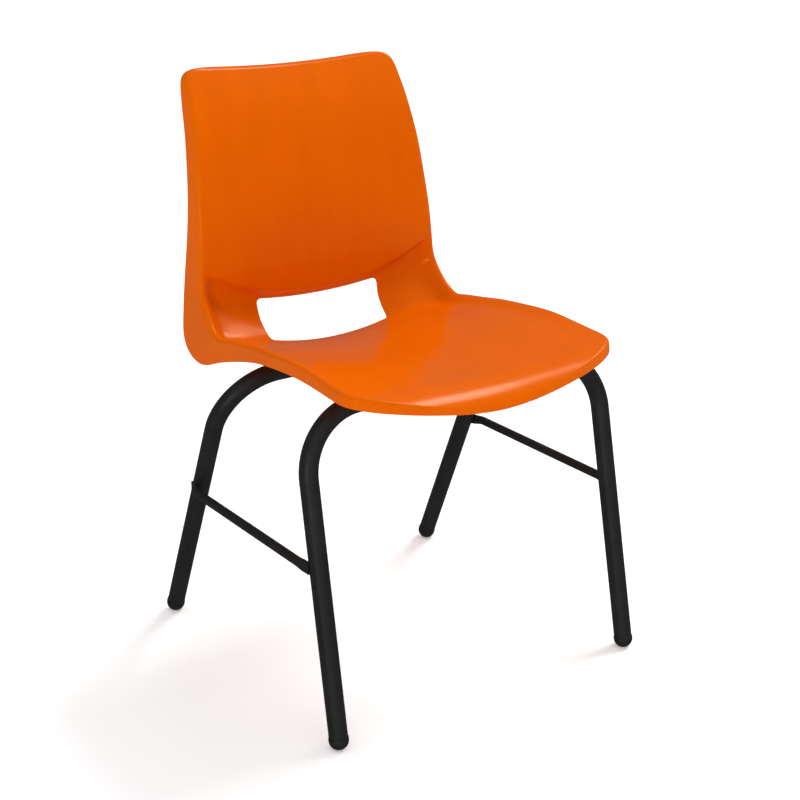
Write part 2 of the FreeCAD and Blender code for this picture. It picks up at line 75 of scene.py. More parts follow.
# ---------------------------------------------------------------- shader building
class Num:
    """A number that varies over a surface; arithmetic on it adds Math nodes."""

    def __init__(self, shader: "Shader", socket: bpy.types.NodeSocket) -> None:
        """Wraps one socket.

        Args:
            shader: The material being built.
            socket: The output that carries the number.
        """
        self.shader = shader
        self.socket = socket

    def _math(self, operation: str, first: Any, second: Any) -> "Num":
        """Adds one Math node.

        Args:
            operation: Blender's name for the operation.
            first: The left value or Num.
            second: The right value or Num.

        Returns:
            The node's result.
        """
        made = self.shader.node("ShaderNodeMath", {"operation": operation}, {0: first, 1: second})
        return Num(self.shader, made.outputs[0])

    def __add__(self, other: Any) -> "Num":
        """Self plus other."""
        return self._math("ADD", self, other)

    def __radd__(self, other: Any) -> "Num":
        """Other plus self."""
        return self._math("ADD", other, self)

    def __sub__(self, other: Any) -> "Num":
        """Self less other."""
        return self._math("SUBTRACT", self, other)

    def __rsub__(self, other: Any) -> "Num":
        """Other less self."""
        return self._math("SUBTRACT", other, self)

    def __mul__(self, other: Any) -> "Num":
        """Self times other."""
        return self._math("MULTIPLY", self, other)

    def __rmul__(self, other: Any) -> "Num":
        """Other times self."""
        return self._math("MULTIPLY", other, self)

    def __truediv__(self, other: Any) -> "Num":
        """Self over other."""
        return self._math("DIVIDE", self, other)

    def __pow__(self, other: Any) -> "Num":
        """Self to the power of other."""
        return self._math("POWER", self, other)

    def step(self, low: float, high: float) -> "Num":
        """A smooth rise from 0 at low to 1 at high.

        Args:
            low: Where the rise starts.
            high: Where it ends.

        Returns:
            The eased share.
        """
        made = self.shader.node(
            "ShaderNodeMapRange",
            {"interpolation_type": "SMOOTHSTEP"},
            {"Value": self, "From Min": low, "From Max": high},
        )
        return Num(self.shader, made.outputs["Result"])


class Shader:
    """One material's node tree, with one method that adds any node."""

    def __init__(self, name: str) -> None:
        """Starts an empty material.

        Args:
            name: The material's name.
        """
        self.material = bpy.data.materials.new(name)
        self.material.use_nodes = True
        self.tree = self.material.node_tree
        self.tree.nodes.clear()

    def node(
        self, kind: str, settings: dict[str, Any] | None = None, values: dict[Any, Any] | None = None
    ) -> bpy.types.Node:
        """Adds a node: its settings first, then its sockets.

        Args:
            kind: The node's type.
            settings: The node's own properties; "stops" fills a colour ramp.
            values: Socket name or number to a value, a Num or a socket.

        Returns:
            The node.
        """
        made = self.tree.nodes.new(kind)
        for name, value in (settings or {}).items():
            if name == "stops":
                ramp = made.color_ramp.elements
                while len(ramp) < len(value):
                    ramp.new(0.5)
                for element, (place, colour) in zip(ramp, value):
                    element.position = place
                    element.color = colour
            else:
                setattr(made, name, value)
        for name, value in (values or {}).items():
            socket = self._socket(made, name)
            if isinstance(value, Num):
                value = value.socket
            if isinstance(value, bpy.types.NodeSocket):
                self.tree.links.new(value, socket)
            else:
                socket.default_value = value
        return made

    @staticmethod
    def _socket(made: bpy.types.Node, name: Any) -> bpy.types.NodeSocket:
        """The input of that number, identifier or name."""
        if isinstance(name, int):
            return made.inputs[name]
        by_id = [s for s in made.inputs if s.identifier == name]
        return by_id[0] if by_id else made.inputs[name]

    def place(self) -> bpy.types.NodeSocket:
        """The object's own coordinates, in metres."""
        return self.node("ShaderNodeTexCoord").outputs["Object"]

    def stretched(
        self, vector: bpy.types.NodeSocket, scale: tuple[float, float, float]
    ) -> bpy.types.NodeSocket:
        """Coordinates scaled by a different amount along each axis.

        Args:
            vector: The coordinates.
            scale: The three factors.

        Returns:
            The scaled coordinates.
        """
        made = self.node("ShaderNodeMapping", {}, {"Vector": vector, "Scale": scale})
        return made.outputs["Vector"]

    def noise(
        self, vector: bpy.types.NodeSocket, scale: float, detail: float = 3.0, rough: float = 0.5
    ) -> Num:
        """Fractal noise, about 0.5 on average.

        Args:
            vector: The coordinates it reads.
            scale: Features per metre.
            detail: Octaves.
            rough: How strong the finer octaves are.

        Returns:
            The noise.
        """
        made = self.node(
            "ShaderNodeTexNoise", {}, {"Vector": vector, "Scale": scale, "Detail": detail, "Roughness": rough}
        )
        return Num(self, made.outputs["Fac"])

    def mix(self, share: Any, first: Any, second: Any) -> bpy.types.NodeSocket:
        """A mix of two colours.

        Args:
            share: How much of the second colour.
            first: A colour or a socket.
            second: A colour or a socket.

        Returns:
            The mixed colour.
        """
        made = self.node(
            "ShaderNodeMix",
            {"data_type": "RGBA"},
            {"Factor_Float": share, "A_Color": first, "B_Color": second},
        )
        return [s for s in made.outputs if s.identifier == "Result_Color"][0]

    def bump(self, height: Num, distance: float, strength: float = 1.0) -> bpy.types.NodeSocket:
        """A bumped normal.

        Args:
            height: The relief, from 0 to 1.
            distance: The relief's depth in metres.
            strength: How much of it shows.

        Returns:
            The normal.
        """
        made = self.node("ShaderNodeBump", {}, {"Height": height, "Distance": distance, "Strength": strength})
        return made.outputs["Normal"]

    def surface(self, values: dict[str, Any]) -> bpy.types.Material:
        """Closes the tree with one Principled shader.

        Args:
            values: The shader's sockets.

        Returns:
            The finished material.
        """
        principled = self.node("ShaderNodeBsdfPrincipled", {}, values)
        self.node("ShaderNodeOutputMaterial", {}, {"Surface": principled.outputs[0]})
        return self.material


Colour = tuple[float, float, float, float]


@dataclass(frozen=True)
class GlossPlastic:
    """Glossy moulded polypropylene with a faint orange peel and flow marks."""

    name: str = "orange_polypropylene"
    base: Colour = (0.76, 0.122, 0.0, 1.0)
    deep: Colour = (0.72, 0.113, 0.0, 1.0)
    gloss_tint: Colour = (1.0, 0.50, 0.16, 1.0)
    roughness: float = 0.20
    specular: float = 0.18

    def make(self) -> bpy.types.Material:
        """Builds the material."""
        shader = Shader(self.name)
        place = shader.place()
        clouds = shader.noise(place, 9.0, 3.0)
        flow = shader.noise(shader.stretched(place, (34.0, 6.0, 5.0)), 1.0, 2.0)
        tone = (clouds * 0.6 + flow * 0.4).step(0.34, 0.68)
        peel = shader.noise(place, 620.0, 2.0)
        wave = shader.noise(place, 26.0, 1.0)
        relief = peel * 0.18 + wave * 0.82
        scuffs = shader.noise(shader.stretched(place, (60.0, 14.0, 60.0)), 6.0, 4.0, 0.65).step(0.60, 0.80)
        return shader.surface(
            {
                "Base Color": shader.mix(tone, self.base, self.deep),
                "Roughness": self.roughness + clouds * 0.06 + scuffs * 0.05,
                "Normal": shader.bump(relief, 0.00018),
                "Specular IOR Level": self.specular,
                "Specular Tint": self.gloss_tint,
            }
        )


@dataclass(frozen=True)
class PowderCoat:
    """Satin black powder coat with a fine peel."""

    name: str = "satin_black_powder_coat"
    base: Colour = (0.0132, 0.0128, 0.0132, 1.0)
    worn: Colour = (0.0168, 0.0164, 0.0168, 1.0)
    roughness: float = 0.36

    def make(self) -> bpy.types.Material:
        """Builds the material."""
        shader = Shader(self.name)
        place = shader.place()
        peel = shader.noise(place, 900.0, 2.0)
        wave = shader.noise(place, 190.0, 1.0)
        dust = shader.noise(place, 22.0, 4.0, 0.6).step(0.42, 0.72)
        return shader.surface(
            {
                "Base Color": shader.mix(dust, self.base, self.worn),
                "Roughness": self.roughness + dust * 0.08 + peel * 0.05,
                "Normal": shader.bump(peel * 0.5 + wave * 0.5, 0.00012),
                "Specular IOR Level": 0.26,
            }
        )


@dataclass(frozen=True)
class PlugPlastic:
    """Matte black moulded plastic with a spark-eroded grain."""

    name: str = "matte_black_plastic"
    base: Colour = (0.010, 0.010, 0.010, 1.0)
    scuffed: Colour = (0.035, 0.034, 0.032, 1.0)

    def make(self) -> bpy.types.Material:
        """Builds the material, scuffed towards the floor."""
        shader = Shader(self.name)
        place = shader.place()
        grain = shader.noise(place, 1900.0, 2.0)
        height = Num(shader, shader.node("ShaderNodeSeparateXYZ", {}, {"Vector": place}).outputs["Z"])
        low = 1.0 - height.step(0.001, 0.009)
        scuff = low * shader.noise(place, 420.0, 3.0).step(0.40, 0.62)
        return shader.surface(
            {
                "Base Color": shader.mix(scuff, self.base, self.scuffed),
                "Roughness": 0.52 + grain * 0.14,
                "Normal": shader.bump(grain, 0.00010),
                "Specular IOR Level": 0.40,
            }
        )


@dataclass(frozen=True)
class ZincPlate:
    """Zinc-plated steel with turned marks and a faint blue cast."""

    name: str = "zinc_plated_steel"
    base: Colour = (0.52, 0.54, 0.57, 1.0)
    dull: Colour = (0.36, 0.36, 0.34, 1.0)

    def make(self) -> bpy.types.Material:
        """Builds the material."""
        shader = Shader(self.name)
        place = shader.place()
        brushed = shader.noise(shader.stretched(place, (1.0, 1.0, 9.0)), 480.0, 3.0)
        bloom = shader.noise(place, 160.0, 4.0, 0.6).step(0.40, 0.70)
        return shader.surface(
            {
                "Base Color": shader.mix(bloom, self.base, self.dull),
                "Roughness": 0.26 + bloom * 0.16,
                "Normal": shader.bump(brushed, 0.00005),
                "Metallic": 1.0,
            }
        )


@dataclass(frozen=True)
class StudioFloor:
    """A plain pale studio floor."""

    name: str = "studio_floor"
    base: Colour = (0.90, 0.90, 0.90, 1.0)
    shade: Colour = (0.88, 0.88, 0.88, 1.0)

    def make(self) -> bpy.types.Material:
        """Builds the material."""
        shader = Shader(self.name)
        drift = shader.noise(shader.place(), 0.7, 2.0)
        return shader.surface(
            {
                "Base Color": shader.mix(drift, self.base, self.shade),
                "Roughness": 0.85,
                "Specular IOR Level": 0.10,
                "Emission Color": (1.0, 1.0, 1.0, 1.0),
                "Emission Strength": 0.28,
            }
        )


@dataclass
class Finishes:
    """Every finish of the chair, made once."""

    shell: bpy.types.Material = field(default_factory=lambda: GlossPlastic().make())
    frame: bpy.types.Material = field(default_factory=lambda: PowderCoat().make())
    plug: bpy.types.Material = field(default_factory=lambda: PlugPlastic().make())
    hardware: bpy.types.Material = field(default_factory=lambda: ZincPlate().make())
    floor: bpy.types.Material = field(default_factory=lambda: StudioFloor().make())


# ---------------------------------------------------------------- mesh helpers
def mesh_object(
    name: str, points: Any, faces: Sequence[Sequence[int]], edges: Sequence[Sequence[int]] = ()
) -> bpy.types.Object:
    """Makes a smooth-shaded mesh object at the origin.

    Args:
        name: The object's name.
        points: Vertex places in metres.
        faces: Vertex numbers of each face.
        edges: Loose edges, for a path.

    Returns:
        The object, linked to the scene.
    """
    mesh = bpy.data.meshes.new(name)
    mesh.from_pydata([tuple(p) for p in points], [tuple(e) for e in edges], [tuple(f) for f in faces])
    mesh.validate()
    if faces:
        mesh.shade_smooth()
    obj = bpy.data.objects.new(name, mesh)
    bpy.context.scene.collection.objects.link(obj)
    return obj


def discard(obj: bpy.types.Object) -> None:
    """Removes a helper object."""
    bpy.data.objects.remove(obj)


def settled(obj: bpy.types.Object, name: str, keep_helper: bool = False) -> bpy.types.Object:
    """Turns an object with modifiers into a plain mesh object.

    Args:
        obj: The object with its modifiers.
        name: The new object's name.
        keep_helper: Whether the first object stays.

    Returns:
        The plain object.
    """
    bpy.context.view_layer.update()
    graph = bpy.context.evaluated_depsgraph_get()
    mesh = bpy.data.meshes.new_from_object(obj.evaluated_get(graph), depsgraph=graph)
    obj.modifiers.clear()
    if not keep_helper:
        discard(obj)
    mesh.name = name
    plain = bpy.data.objects.new(name, mesh)
    bpy.context.scene.collection.objects.link(plain)
    return plain


def sharpen(obj: bpy.types.Object, degrees: float) -> None:
    """Marks the edges that turn by more than an angle as sharp."""
    obj.data.set_sharp_from_angle(angle=math.radians(degrees))


def dress(
    obj: bpy.types.Object, material: bpy.types.Material, replaced: Sequence[str] = ()
) -> bpy.types.Object:
    """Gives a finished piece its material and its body.

    Args:
        obj: The piece.
        material: Its material.
        replaced: The CAD nodes that it stands for.

    Returns:
        The piece.
    """
    obj.data.materials.clear()
    obj.data.materials.append(material)
    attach(obj, BODY)
    if replaced:
        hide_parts(*replaced)
    log.info("%s: %d faces", obj.name, len(obj.data.polygons))
    return obj


def lathe(profile: Sequence[tuple[float, float]], sides: int) -> tuple[list[Vector], list[list[int]]]:
    """Turns a profile about Z; a point on the axis becomes a pole.

    Args:
        profile: (radius, height) pairs, from the top down on the outside.
        sides: Steps round the axis.

    Returns:
        The points and the faces.
    """
    points: list[Vector] = []
    rings: list[list[int]] = []
    for radius, height in profile:
        if radius < 1e-9:
            rings.append([len(points)] * sides)
            points.append(Vector((0, 0, height)))
            continue
        rings.append(list(range(len(points), len(points) + sides)))
        for i in range(sides):
            angle = 2 * math.pi * i / sides
            points.append(Vector((radius * math.cos(angle), radius * math.sin(angle), height)))
    faces = []
    for upper, lower in zip(rings, rings[1:]):
        for i in range(sides):
            j = (i + 1) % sides
            ring = [upper[i], lower[i], lower[j], upper[j]]
            face = [k for n, k in enumerate(ring) if k != ring[n - 1]]
            if len(face) > 2:
                faces.append(face)
    return points, faces


def joined(name: str, objects: Sequence[bpy.types.Object]) -> bpy.types.Object:
    """One mesh object from several, which are removed.

    Args:
        name: The new object's name.
        objects: The parts.

    Returns:
        The joined object.
    """
    whole = bmesh.new()
    for part in objects:
        whole.from_mesh(part.data)
    mesh = bpy.data.meshes.new(name)
    whole.to_mesh(mesh)
    whole.free()
    for part in objects:
        discard(part)
    obj = bpy.data.objects.new(name, mesh)
    bpy.context.scene.collection.objects.link(obj)
    return obj


# ---------------------------------------------------------------- geometry nodes
class NodeRecipe:
    """A Geometry Nodes tree with named inputs, closed by Realize Instances and Set Material."""

    def __init__(self, name: str, inputs: dict[str, str]) -> None:
        """Starts the tree.

        Args:
            name: The tree's name.
            inputs: Input name to socket type, after the geometry and before the finish.
        """
        self.tree = bpy.data.node_groups.new(name, "GeometryNodeTree")
        face = self.tree.interface
        face.new_socket(name="Geometry", in_out="INPUT", socket_type="NodeSocketGeometry")
        for label, kind in {**inputs, "Finish": "NodeSocketMaterial"}.items():
            face.new_socket(name=label, in_out="INPUT", socket_type=kind)
        face.new_socket(name="Geometry", in_out="OUTPUT", socket_type="NodeSocketGeometry")
        self.start = self.tree.nodes.new("NodeGroupInput")

    def node(
        self, kind: str, settings: dict[str, Any] | None = None, values: dict[Any, Any] | None = None
    ) -> bpy.types.Node:
        """Adds a node: its settings first, then its sockets.

        Args:
            kind: The node's type.
            settings: The node's own properties.
            values: Socket name or number to a value or a socket.

        Returns:
            The node.
        """
        made = self.tree.nodes.new(kind)
        for name, value in (settings or {}).items():
            setattr(made, name, value)
        for name, value in (values or {}).items():
            if isinstance(value, bpy.types.NodeSocket):
                self.tree.links.new(value, made.inputs[name])
            else:
                made.inputs[name].default_value = value
        return made

    def asks(self, name: str) -> bpy.types.NodeSocket:
        """The named input's socket inside the tree."""
        return self.start.outputs[name]

    def close(self, geometry: bpy.types.NodeSocket) -> None:
        """Ends the tree.

        Args:
            geometry: What the tree has made.
        """
        real = self.node("GeometryNodeRealizeInstances", {}, {"Geometry": geometry})
        smooth = self.node("GeometryNodeSetShadeSmooth", {}, {0: real.outputs[0]})
        dressed = self.node(
            "GeometryNodeSetMaterial", {}, {"Geometry": smooth.outputs[0], "Material": self.asks("Finish")}
        )
        out = self.tree.nodes.new("NodeGroupOutput")
        self.tree.links.new(dressed.outputs[0], out.inputs[0])

    def run(self, obj: bpy.types.Object, name: str, **values: Any) -> bpy.types.Object:
        """Runs the tree on an object and returns the result as a plain mesh object.

        Args:
            obj: The object with the path or the points; it is removed.
            name: The new object's name.
            **values: Input name, with _ for a space, to its value.

        Returns:
            The plain object.
        """
        modifier = obj.modifiers.new(self.tree.name, "NODES")
        modifier.node_group = self.tree
        given = {key.replace("_", " "): value for key, value in values.items()}
        for item in self.tree.interface.items_tree:
            if item.in_out == "INPUT" and item.name in given:
                modifier[item.identifier] = given[item.name]
        return settled(obj, name)


def tube_recipe() -> NodeRecipe:
    """A round tube along a path of edges."""
    recipe = NodeRecipe(
        "tube_along_path", {"Tube Radius": "NodeSocketFloat", "Sides": "NodeSocketInt"}
    )
    path = recipe.node("GeometryNodeMeshToCurve", {}, {"Mesh": recipe.asks("Geometry")})
    ring = recipe.node(
        "GeometryNodeCurvePrimitiveCircle",
        {"mode": "RADIUS"},
        {"Resolution": recipe.asks("Sides"), "Radius": recipe.asks("Tube Radius")},
    )
    tube = recipe.node(
        "GeometryNodeCurveToMesh",
        {},
        {"Curve": path.outputs[0], "Profile Curve": ring.outputs[0], "Fill Caps": True},
    )
    recipe.close(tube.outputs[0])
    return recipe


def bead_recipe() -> NodeRecipe:
    """A weld bead: overlapping ripples of uneven size along a path of edges."""
    recipe = NodeRecipe(
        "weld_bead",
        {
            "Bead Radius": "NodeSocketFloat",
            "Ripple Pitch": "NodeSocketFloat",
            "Seed": "NodeSocketInt",
        },
    )
    path = recipe.node("GeometryNodeMeshToCurve", {}, {"Mesh": recipe.asks("Geometry")})
    places = recipe.node(
        "GeometryNodeResampleCurve", {"mode": "LENGTH"}, {"Curve": path.outputs[0]}
    )
    recipe.tree.links.new(recipe.asks("Ripple Pitch"), places.inputs["Length"])
    ripple = recipe.node(
        "GeometryNodeMeshUVSphere",
        {},
        {"Segments": 12, "Rings": 8, "Radius": recipe.asks("Bead Radius")},
    )
    tangent = recipe.node("GeometryNodeInputTangent")
    turn = recipe.node(
        "FunctionNodeAlignRotationToVector", {"axis": "Z"}, {"Vector": tangent.outputs[0]}
    )
    size = recipe.node(
        "FunctionNodeRandomValue",
        {"data_type": "FLOAT"},
        {2: 0.82, 3: 1.12, "Seed": recipe.asks("Seed")},
    )
    squeeze = recipe.node("ShaderNodeCombineXYZ", {}, {"X": size.outputs[1], "Y": size.outputs[1], "Z": 0.72})
    beads = recipe.node(
        "GeometryNodeInstanceOnPoints",
        {},
        {
            "Points": places.outputs[0],
            "Instance": ripple.outputs[0],
            "Rotation": turn.outputs[0],
            "Scale": squeeze.outputs[0],
        },
    )
    recipe.close(beads.outputs[0])
    return recipe


def copies_recipe() -> NodeRecipe:
    """Copies of one fixing at every point, each turned by its own random amount."""
    recipe = NodeRecipe(
        "fixings_at_points",
        {"Fixing": "NodeSocketObject", "Most Turn": "NodeSocketFloat", "Seed": "NodeSocketInt"},
    )
    master = recipe.node("GeometryNodeObjectInfo", {}, {"Object": recipe.asks("Fixing")})
    spin = recipe.node(
        "FunctionNodeRandomValue",
        {"data_type": "FLOAT"},
        {2: 0.0, 3: recipe.asks("Most Turn"), "Seed": recipe.asks("Seed")},
    )
    turn = recipe.node("ShaderNodeCombineXYZ", {}, {"Z": spin.outputs[1]})
    copies = recipe.node(
        "GeometryNodeInstanceOnPoints",
        {},
        {
            "Points": recipe.asks("Geometry"),
            "Instance": master.outputs["Geometry"],
            "Rotation": turn.outputs[0],
        },
    )
    recipe.close(copies.outputs[0])
    return recipe


def path_object(name: str, points: Sequence[Vector], closed: bool = False) -> bpy.types.Object:
    """A chain of edges through points.

    Args:
        name: The object's name.
        points: The path.
        closed: Whether the last point joins the first.

    Returns:
        The object.
    """
    edges = [(i, i + 1) for i in range(len(points) - 1)]
    if closed:
        edges.append((len(points) - 1, 0))
    return mesh_object(name, points, [], edges)


# ---------------------------------------------------------------- moulded shell
def ease(q: Any) -> Any:
    """A smooth rise from 0 to 1 as q goes from 0 to 1."""
    q = np.clip(q, 0.0, 1.0)
    return q * q * (3 - 2 * q)


def spline(marks: np.ndarray, values: np.ndarray, at: np.ndarray) -> np.ndarray:
    """A smooth cubic through values at marks, straight at its two ends.

    Args:
        marks: Rising places of the values.
        values: One row for each mark.
        at: Where it is wanted.

    Returns:
        One row for each place.
    """
    gap = np.diff(marks)
    count = len(marks)
    system = np.eye(count)
    right = np.zeros_like(values)
    slope = np.diff(values, axis=0) / gap[:, None]
    for i in range(1, count - 1):
        system[i, i - 1 : i + 2] = (gap[i - 1], 2 * (gap[i - 1] + gap[i]), gap[i])
        right[i] = 6 * (slope[i] - slope[i - 1])
    bend = np.linalg.solve(system, right)
    i = np.clip(np.searchsorted(marks, at, side="right") - 1, 0, count - 2)
    h = gap[i][:, None]
    a = (marks[i + 1] - at)[:, None] / h
    b = 1 - a
    curve = ((a**3 - a) * bend[i] + (b**3 - b) * bend[i + 1]) * h * h / 6
    return a * values[i] + b * values[i + 1] + curve


@dataclass
class ShellForm:
    """The shell's shape in millimetres, as a function of two numbers.

    A station is one section of the channel, seen from the side: the flange's free edge
    (y, z), the ridge where flange and panel meet (y, z), the half width, how far the
    panel's middle lies below the ridge, and the part of that drop in the raised rim.
    """

    stations: tuple[tuple[float, ...], ...] = (
        (-266, 457, -266, 470, 215, 14, 0),
        (-203.5, 457.5, -203.5, 473.5, 215, 17, 1),
        (-153.5, 460, -153.5, 477.5, 213.5, 21, 2),
        (-98.5, 461.5, -98.5, 480.5, 212.5, 24, 4),
        (-43.5, 458, -43.5, 477.5, 211, 24, 6),
        (11.5, 450.5, 11.5, 472.5, 208.5, 24, 7),
        (51.5, 441, 49.5, 467, 206.5, 24, 8),
        (94.5, 429, 88.5, 461.5, 205.5, 25, 10),
        (133, 416, 114, 457.5, 207, 30, 13),
        (162, 407, 126, 460, 208, 40, 15),
        (186, 408, 134.5, 464, 208, 38, 15),
        (207.5, 417, 144.5, 471, 206.8, 28, 15),
        (223, 440, 158.3, 486, 204.7, 18, 12),
        (222.7, 462, 165.8, 496, 203.9, 11, 9),
        (221.5, 485, 170.9, 507, 202.8, 8, 4),
        (219.1, 515, 173, 527, 201.2, 8, 0),
        (212.9, 580, 176.9, 582, 197.4, 8, 0),
        (214.8, 630, 184.3, 632, 192.9, 8, 0),
        (223.8, 685, 195.4, 688, 187.6, 8, 0),
        (237, 727, 207.7, 730, 182, 8, 0),
        (251, 770.4, 228.8, 773.4, 177.8, 7, 0),
        (260.2, 806.8, 251.7, 808.8, 172.5, 6, 0),
    )
    wall: float = 4.0
    edge_radius: float = 7.0
    front_roll: float = 50.0
    top_roll: float = 7.0
    front_corner: float = 70.0
    top_corner: float = 60.0
    front_power: float = 2.65
    top_power: float = 8.0
    reach: float = 0.995
    front_base_drop: float = 31.5
    top_base_drop: float = 6.0
    top_sag: float = 6.0
    sag_width: float = 150.0
    rim_width: float = 24.0
    rim_margin: float = 4.0
    edge_share: float = 0.7
    dish_softness: float = 0.3
    least_rise: float = 0.4
    crease_z: float = 484.0
    crease_rise: float = 55.0
    crease_span: float = 195.0
    crease_power: float = 2.2
    crease_band: float = 9.0
    crease_depth: float = 9.0
    crease_fade: float = 75.0
    crease_runout: float = 40.0
    crease_margin: float = 3.0
    crease_side: float = 25.0
    crease_from_y: float = 150.0

    def __post_init__(self) -> None:
        """Works out the marks that the stations stand at."""
        table = np.array(self.stations, float)
        middle = (table[:, 0:2] + table[:, 2:4]) / 2
        steps = np.linalg.norm(np.diff(middle, axis=0), axis=1)
        self.table = table
        self.marks = np.concatenate([[0.0], np.cumsum(steps)])
        self.length = float(self.marks[-1])

    def dish(self, share: np.ndarray) -> np.ndarray:
        """How far up the dish a point is, from 0 in the middle to 1 at the ridge."""
        soft = self.dish_softness
        return (np.sqrt(share * share + soft * soft) - soft) / (math.sqrt(1 + soft * soft) - soft)

    def end_height(self, v: np.ndarray, inset: float) -> np.ndarray:
        """Share of the full height left at v, which falls to nothing at both ends."""
        at_top = self.length - v < v
        roll = np.where(at_top, self.top_roll, self.front_roll) - inset
        from_end = np.where(at_top, self.length - v, v)
        left = np.clip((from_end - inset) / roll, 0.0, 1.0)
        return np.sqrt(1 - (1 - left) ** 2)

    def half_width(self, v: np.ndarray, full: np.ndarray, inset: float) -> np.ndarray:
        """Half width at v, with the rounded corners of the two ends."""
        front = np.clip(self.reach * (self.front_corner - v) / (self.front_corner - inset), 0, self.reach)
        top = np.clip(
            self.reach * (v - self.length + self.top_corner) / (self.top_corner - inset), 0, self.reach
        )
        front_width = (1 - front**self.front_power) ** (1 / self.front_power)
        return full * front_width * (1 - top**self.top_power) ** (1 / self.top_power)

    def at(self, c: np.ndarray, v: np.ndarray, inset: float = 0.0) -> np.ndarray:
        """Points of one skin.

        Args:
            c: Place across: 0 to 1 up the right flange, 1 to 2 round its ridge, 2 to 4
                over the panel, and 4 to 6 down the other side.
            v: Distance along from the front edge.
            inset: 0 for the outer skin, the wall's thickness for the inner one.

        Returns:
            One row of x, y, z for each pair.
        """
        c = np.asarray(c, float)
        v = inset + np.asarray(v, float) * (self.length - 2 * inset) / self.length
        along = spline(self.marks, self.table, v)
        edge, ridge = along[:, 0:2], along[:, 2:4]
        full, dish, rim = along[:, 4], along[:, 5], np.maximum(along[:, 6], 0)
        up = ridge - edge
        height = np.linalg.norm(up, axis=1)
        up = up / height[:, None]
        half = self.half_width(v, full, inset) - inset
        radius = np.maximum(np.minimum(self.edge_radius, self.edge_share * height) - inset, 1.0)
        share = self.end_height(v, inset)
        flat = half - radius

        def panel(x: np.ndarray) -> np.ndarray:
            """Height of the panel at a distance from the middle."""
            raised = ease((half - x - self.rim_margin) / self.rim_width)
            drop = dish * (1 - self.dish(x / full)) + rim * raised
            return height - inset - drop

        crown = panel(flat)
        t = np.minimum(c, 6 - c)
        q = np.clip(t, 0, 1)
        angle = np.clip(t - 1, 0, 1) * math.pi / 2
        across = flat * np.clip(3 - t, 0, 1)
        x = np.where(t < 1, half + 1 - q, np.where(t < 2, flat + radius * np.cos(angle), across))
        h = np.where(t < 2, crown - radius + radius * np.sin(angle), panel(across))
        base_drop = np.where(v < self.length / 2, self.front_base_drop, self.top_base_drop)
        base = -base_drop * (1 - self.dish(x / full))
        foot = -base_drop * (1 - self.dish(np.minimum((half + inset) / full, 1.0)))
        h = base * (1 - share) + h * share
        h = np.where(t < 2, np.maximum(h, foot + self.least_rise * share), h)
        h = foot * (1 - q) + h * q
        y = edge[:, 0] + up[:, 0] * h
        z = edge[:, 1] + up[:, 1] * h
        line_z = self.crease_z + self.crease_rise * (x / self.crease_span) ** self.crease_power
        under = line_z - z
        inside = ease((half - self.crease_margin - x) / self.crease_side)
        recess = self.crease_depth * ease(under / self.crease_band)
        recess = recess * ease((self.crease_fade - under) / self.crease_runout) * inside
        recess = np.where(edge[:, 0] > self.crease_from_y, recess, 0.0)
        y = y - up[:, 0] * recess
        z = z - up[:, 1] * recess
        near_top = ease((v - self.length + self.top_corner) / self.top_corner)
        z = z - self.top_sag * (1 - (x / self.sag_width) ** 2) * near_top
        side = np.where(c < 3, -1.0, 1.0)
        return np.stack([side * x, y, z], axis=1)


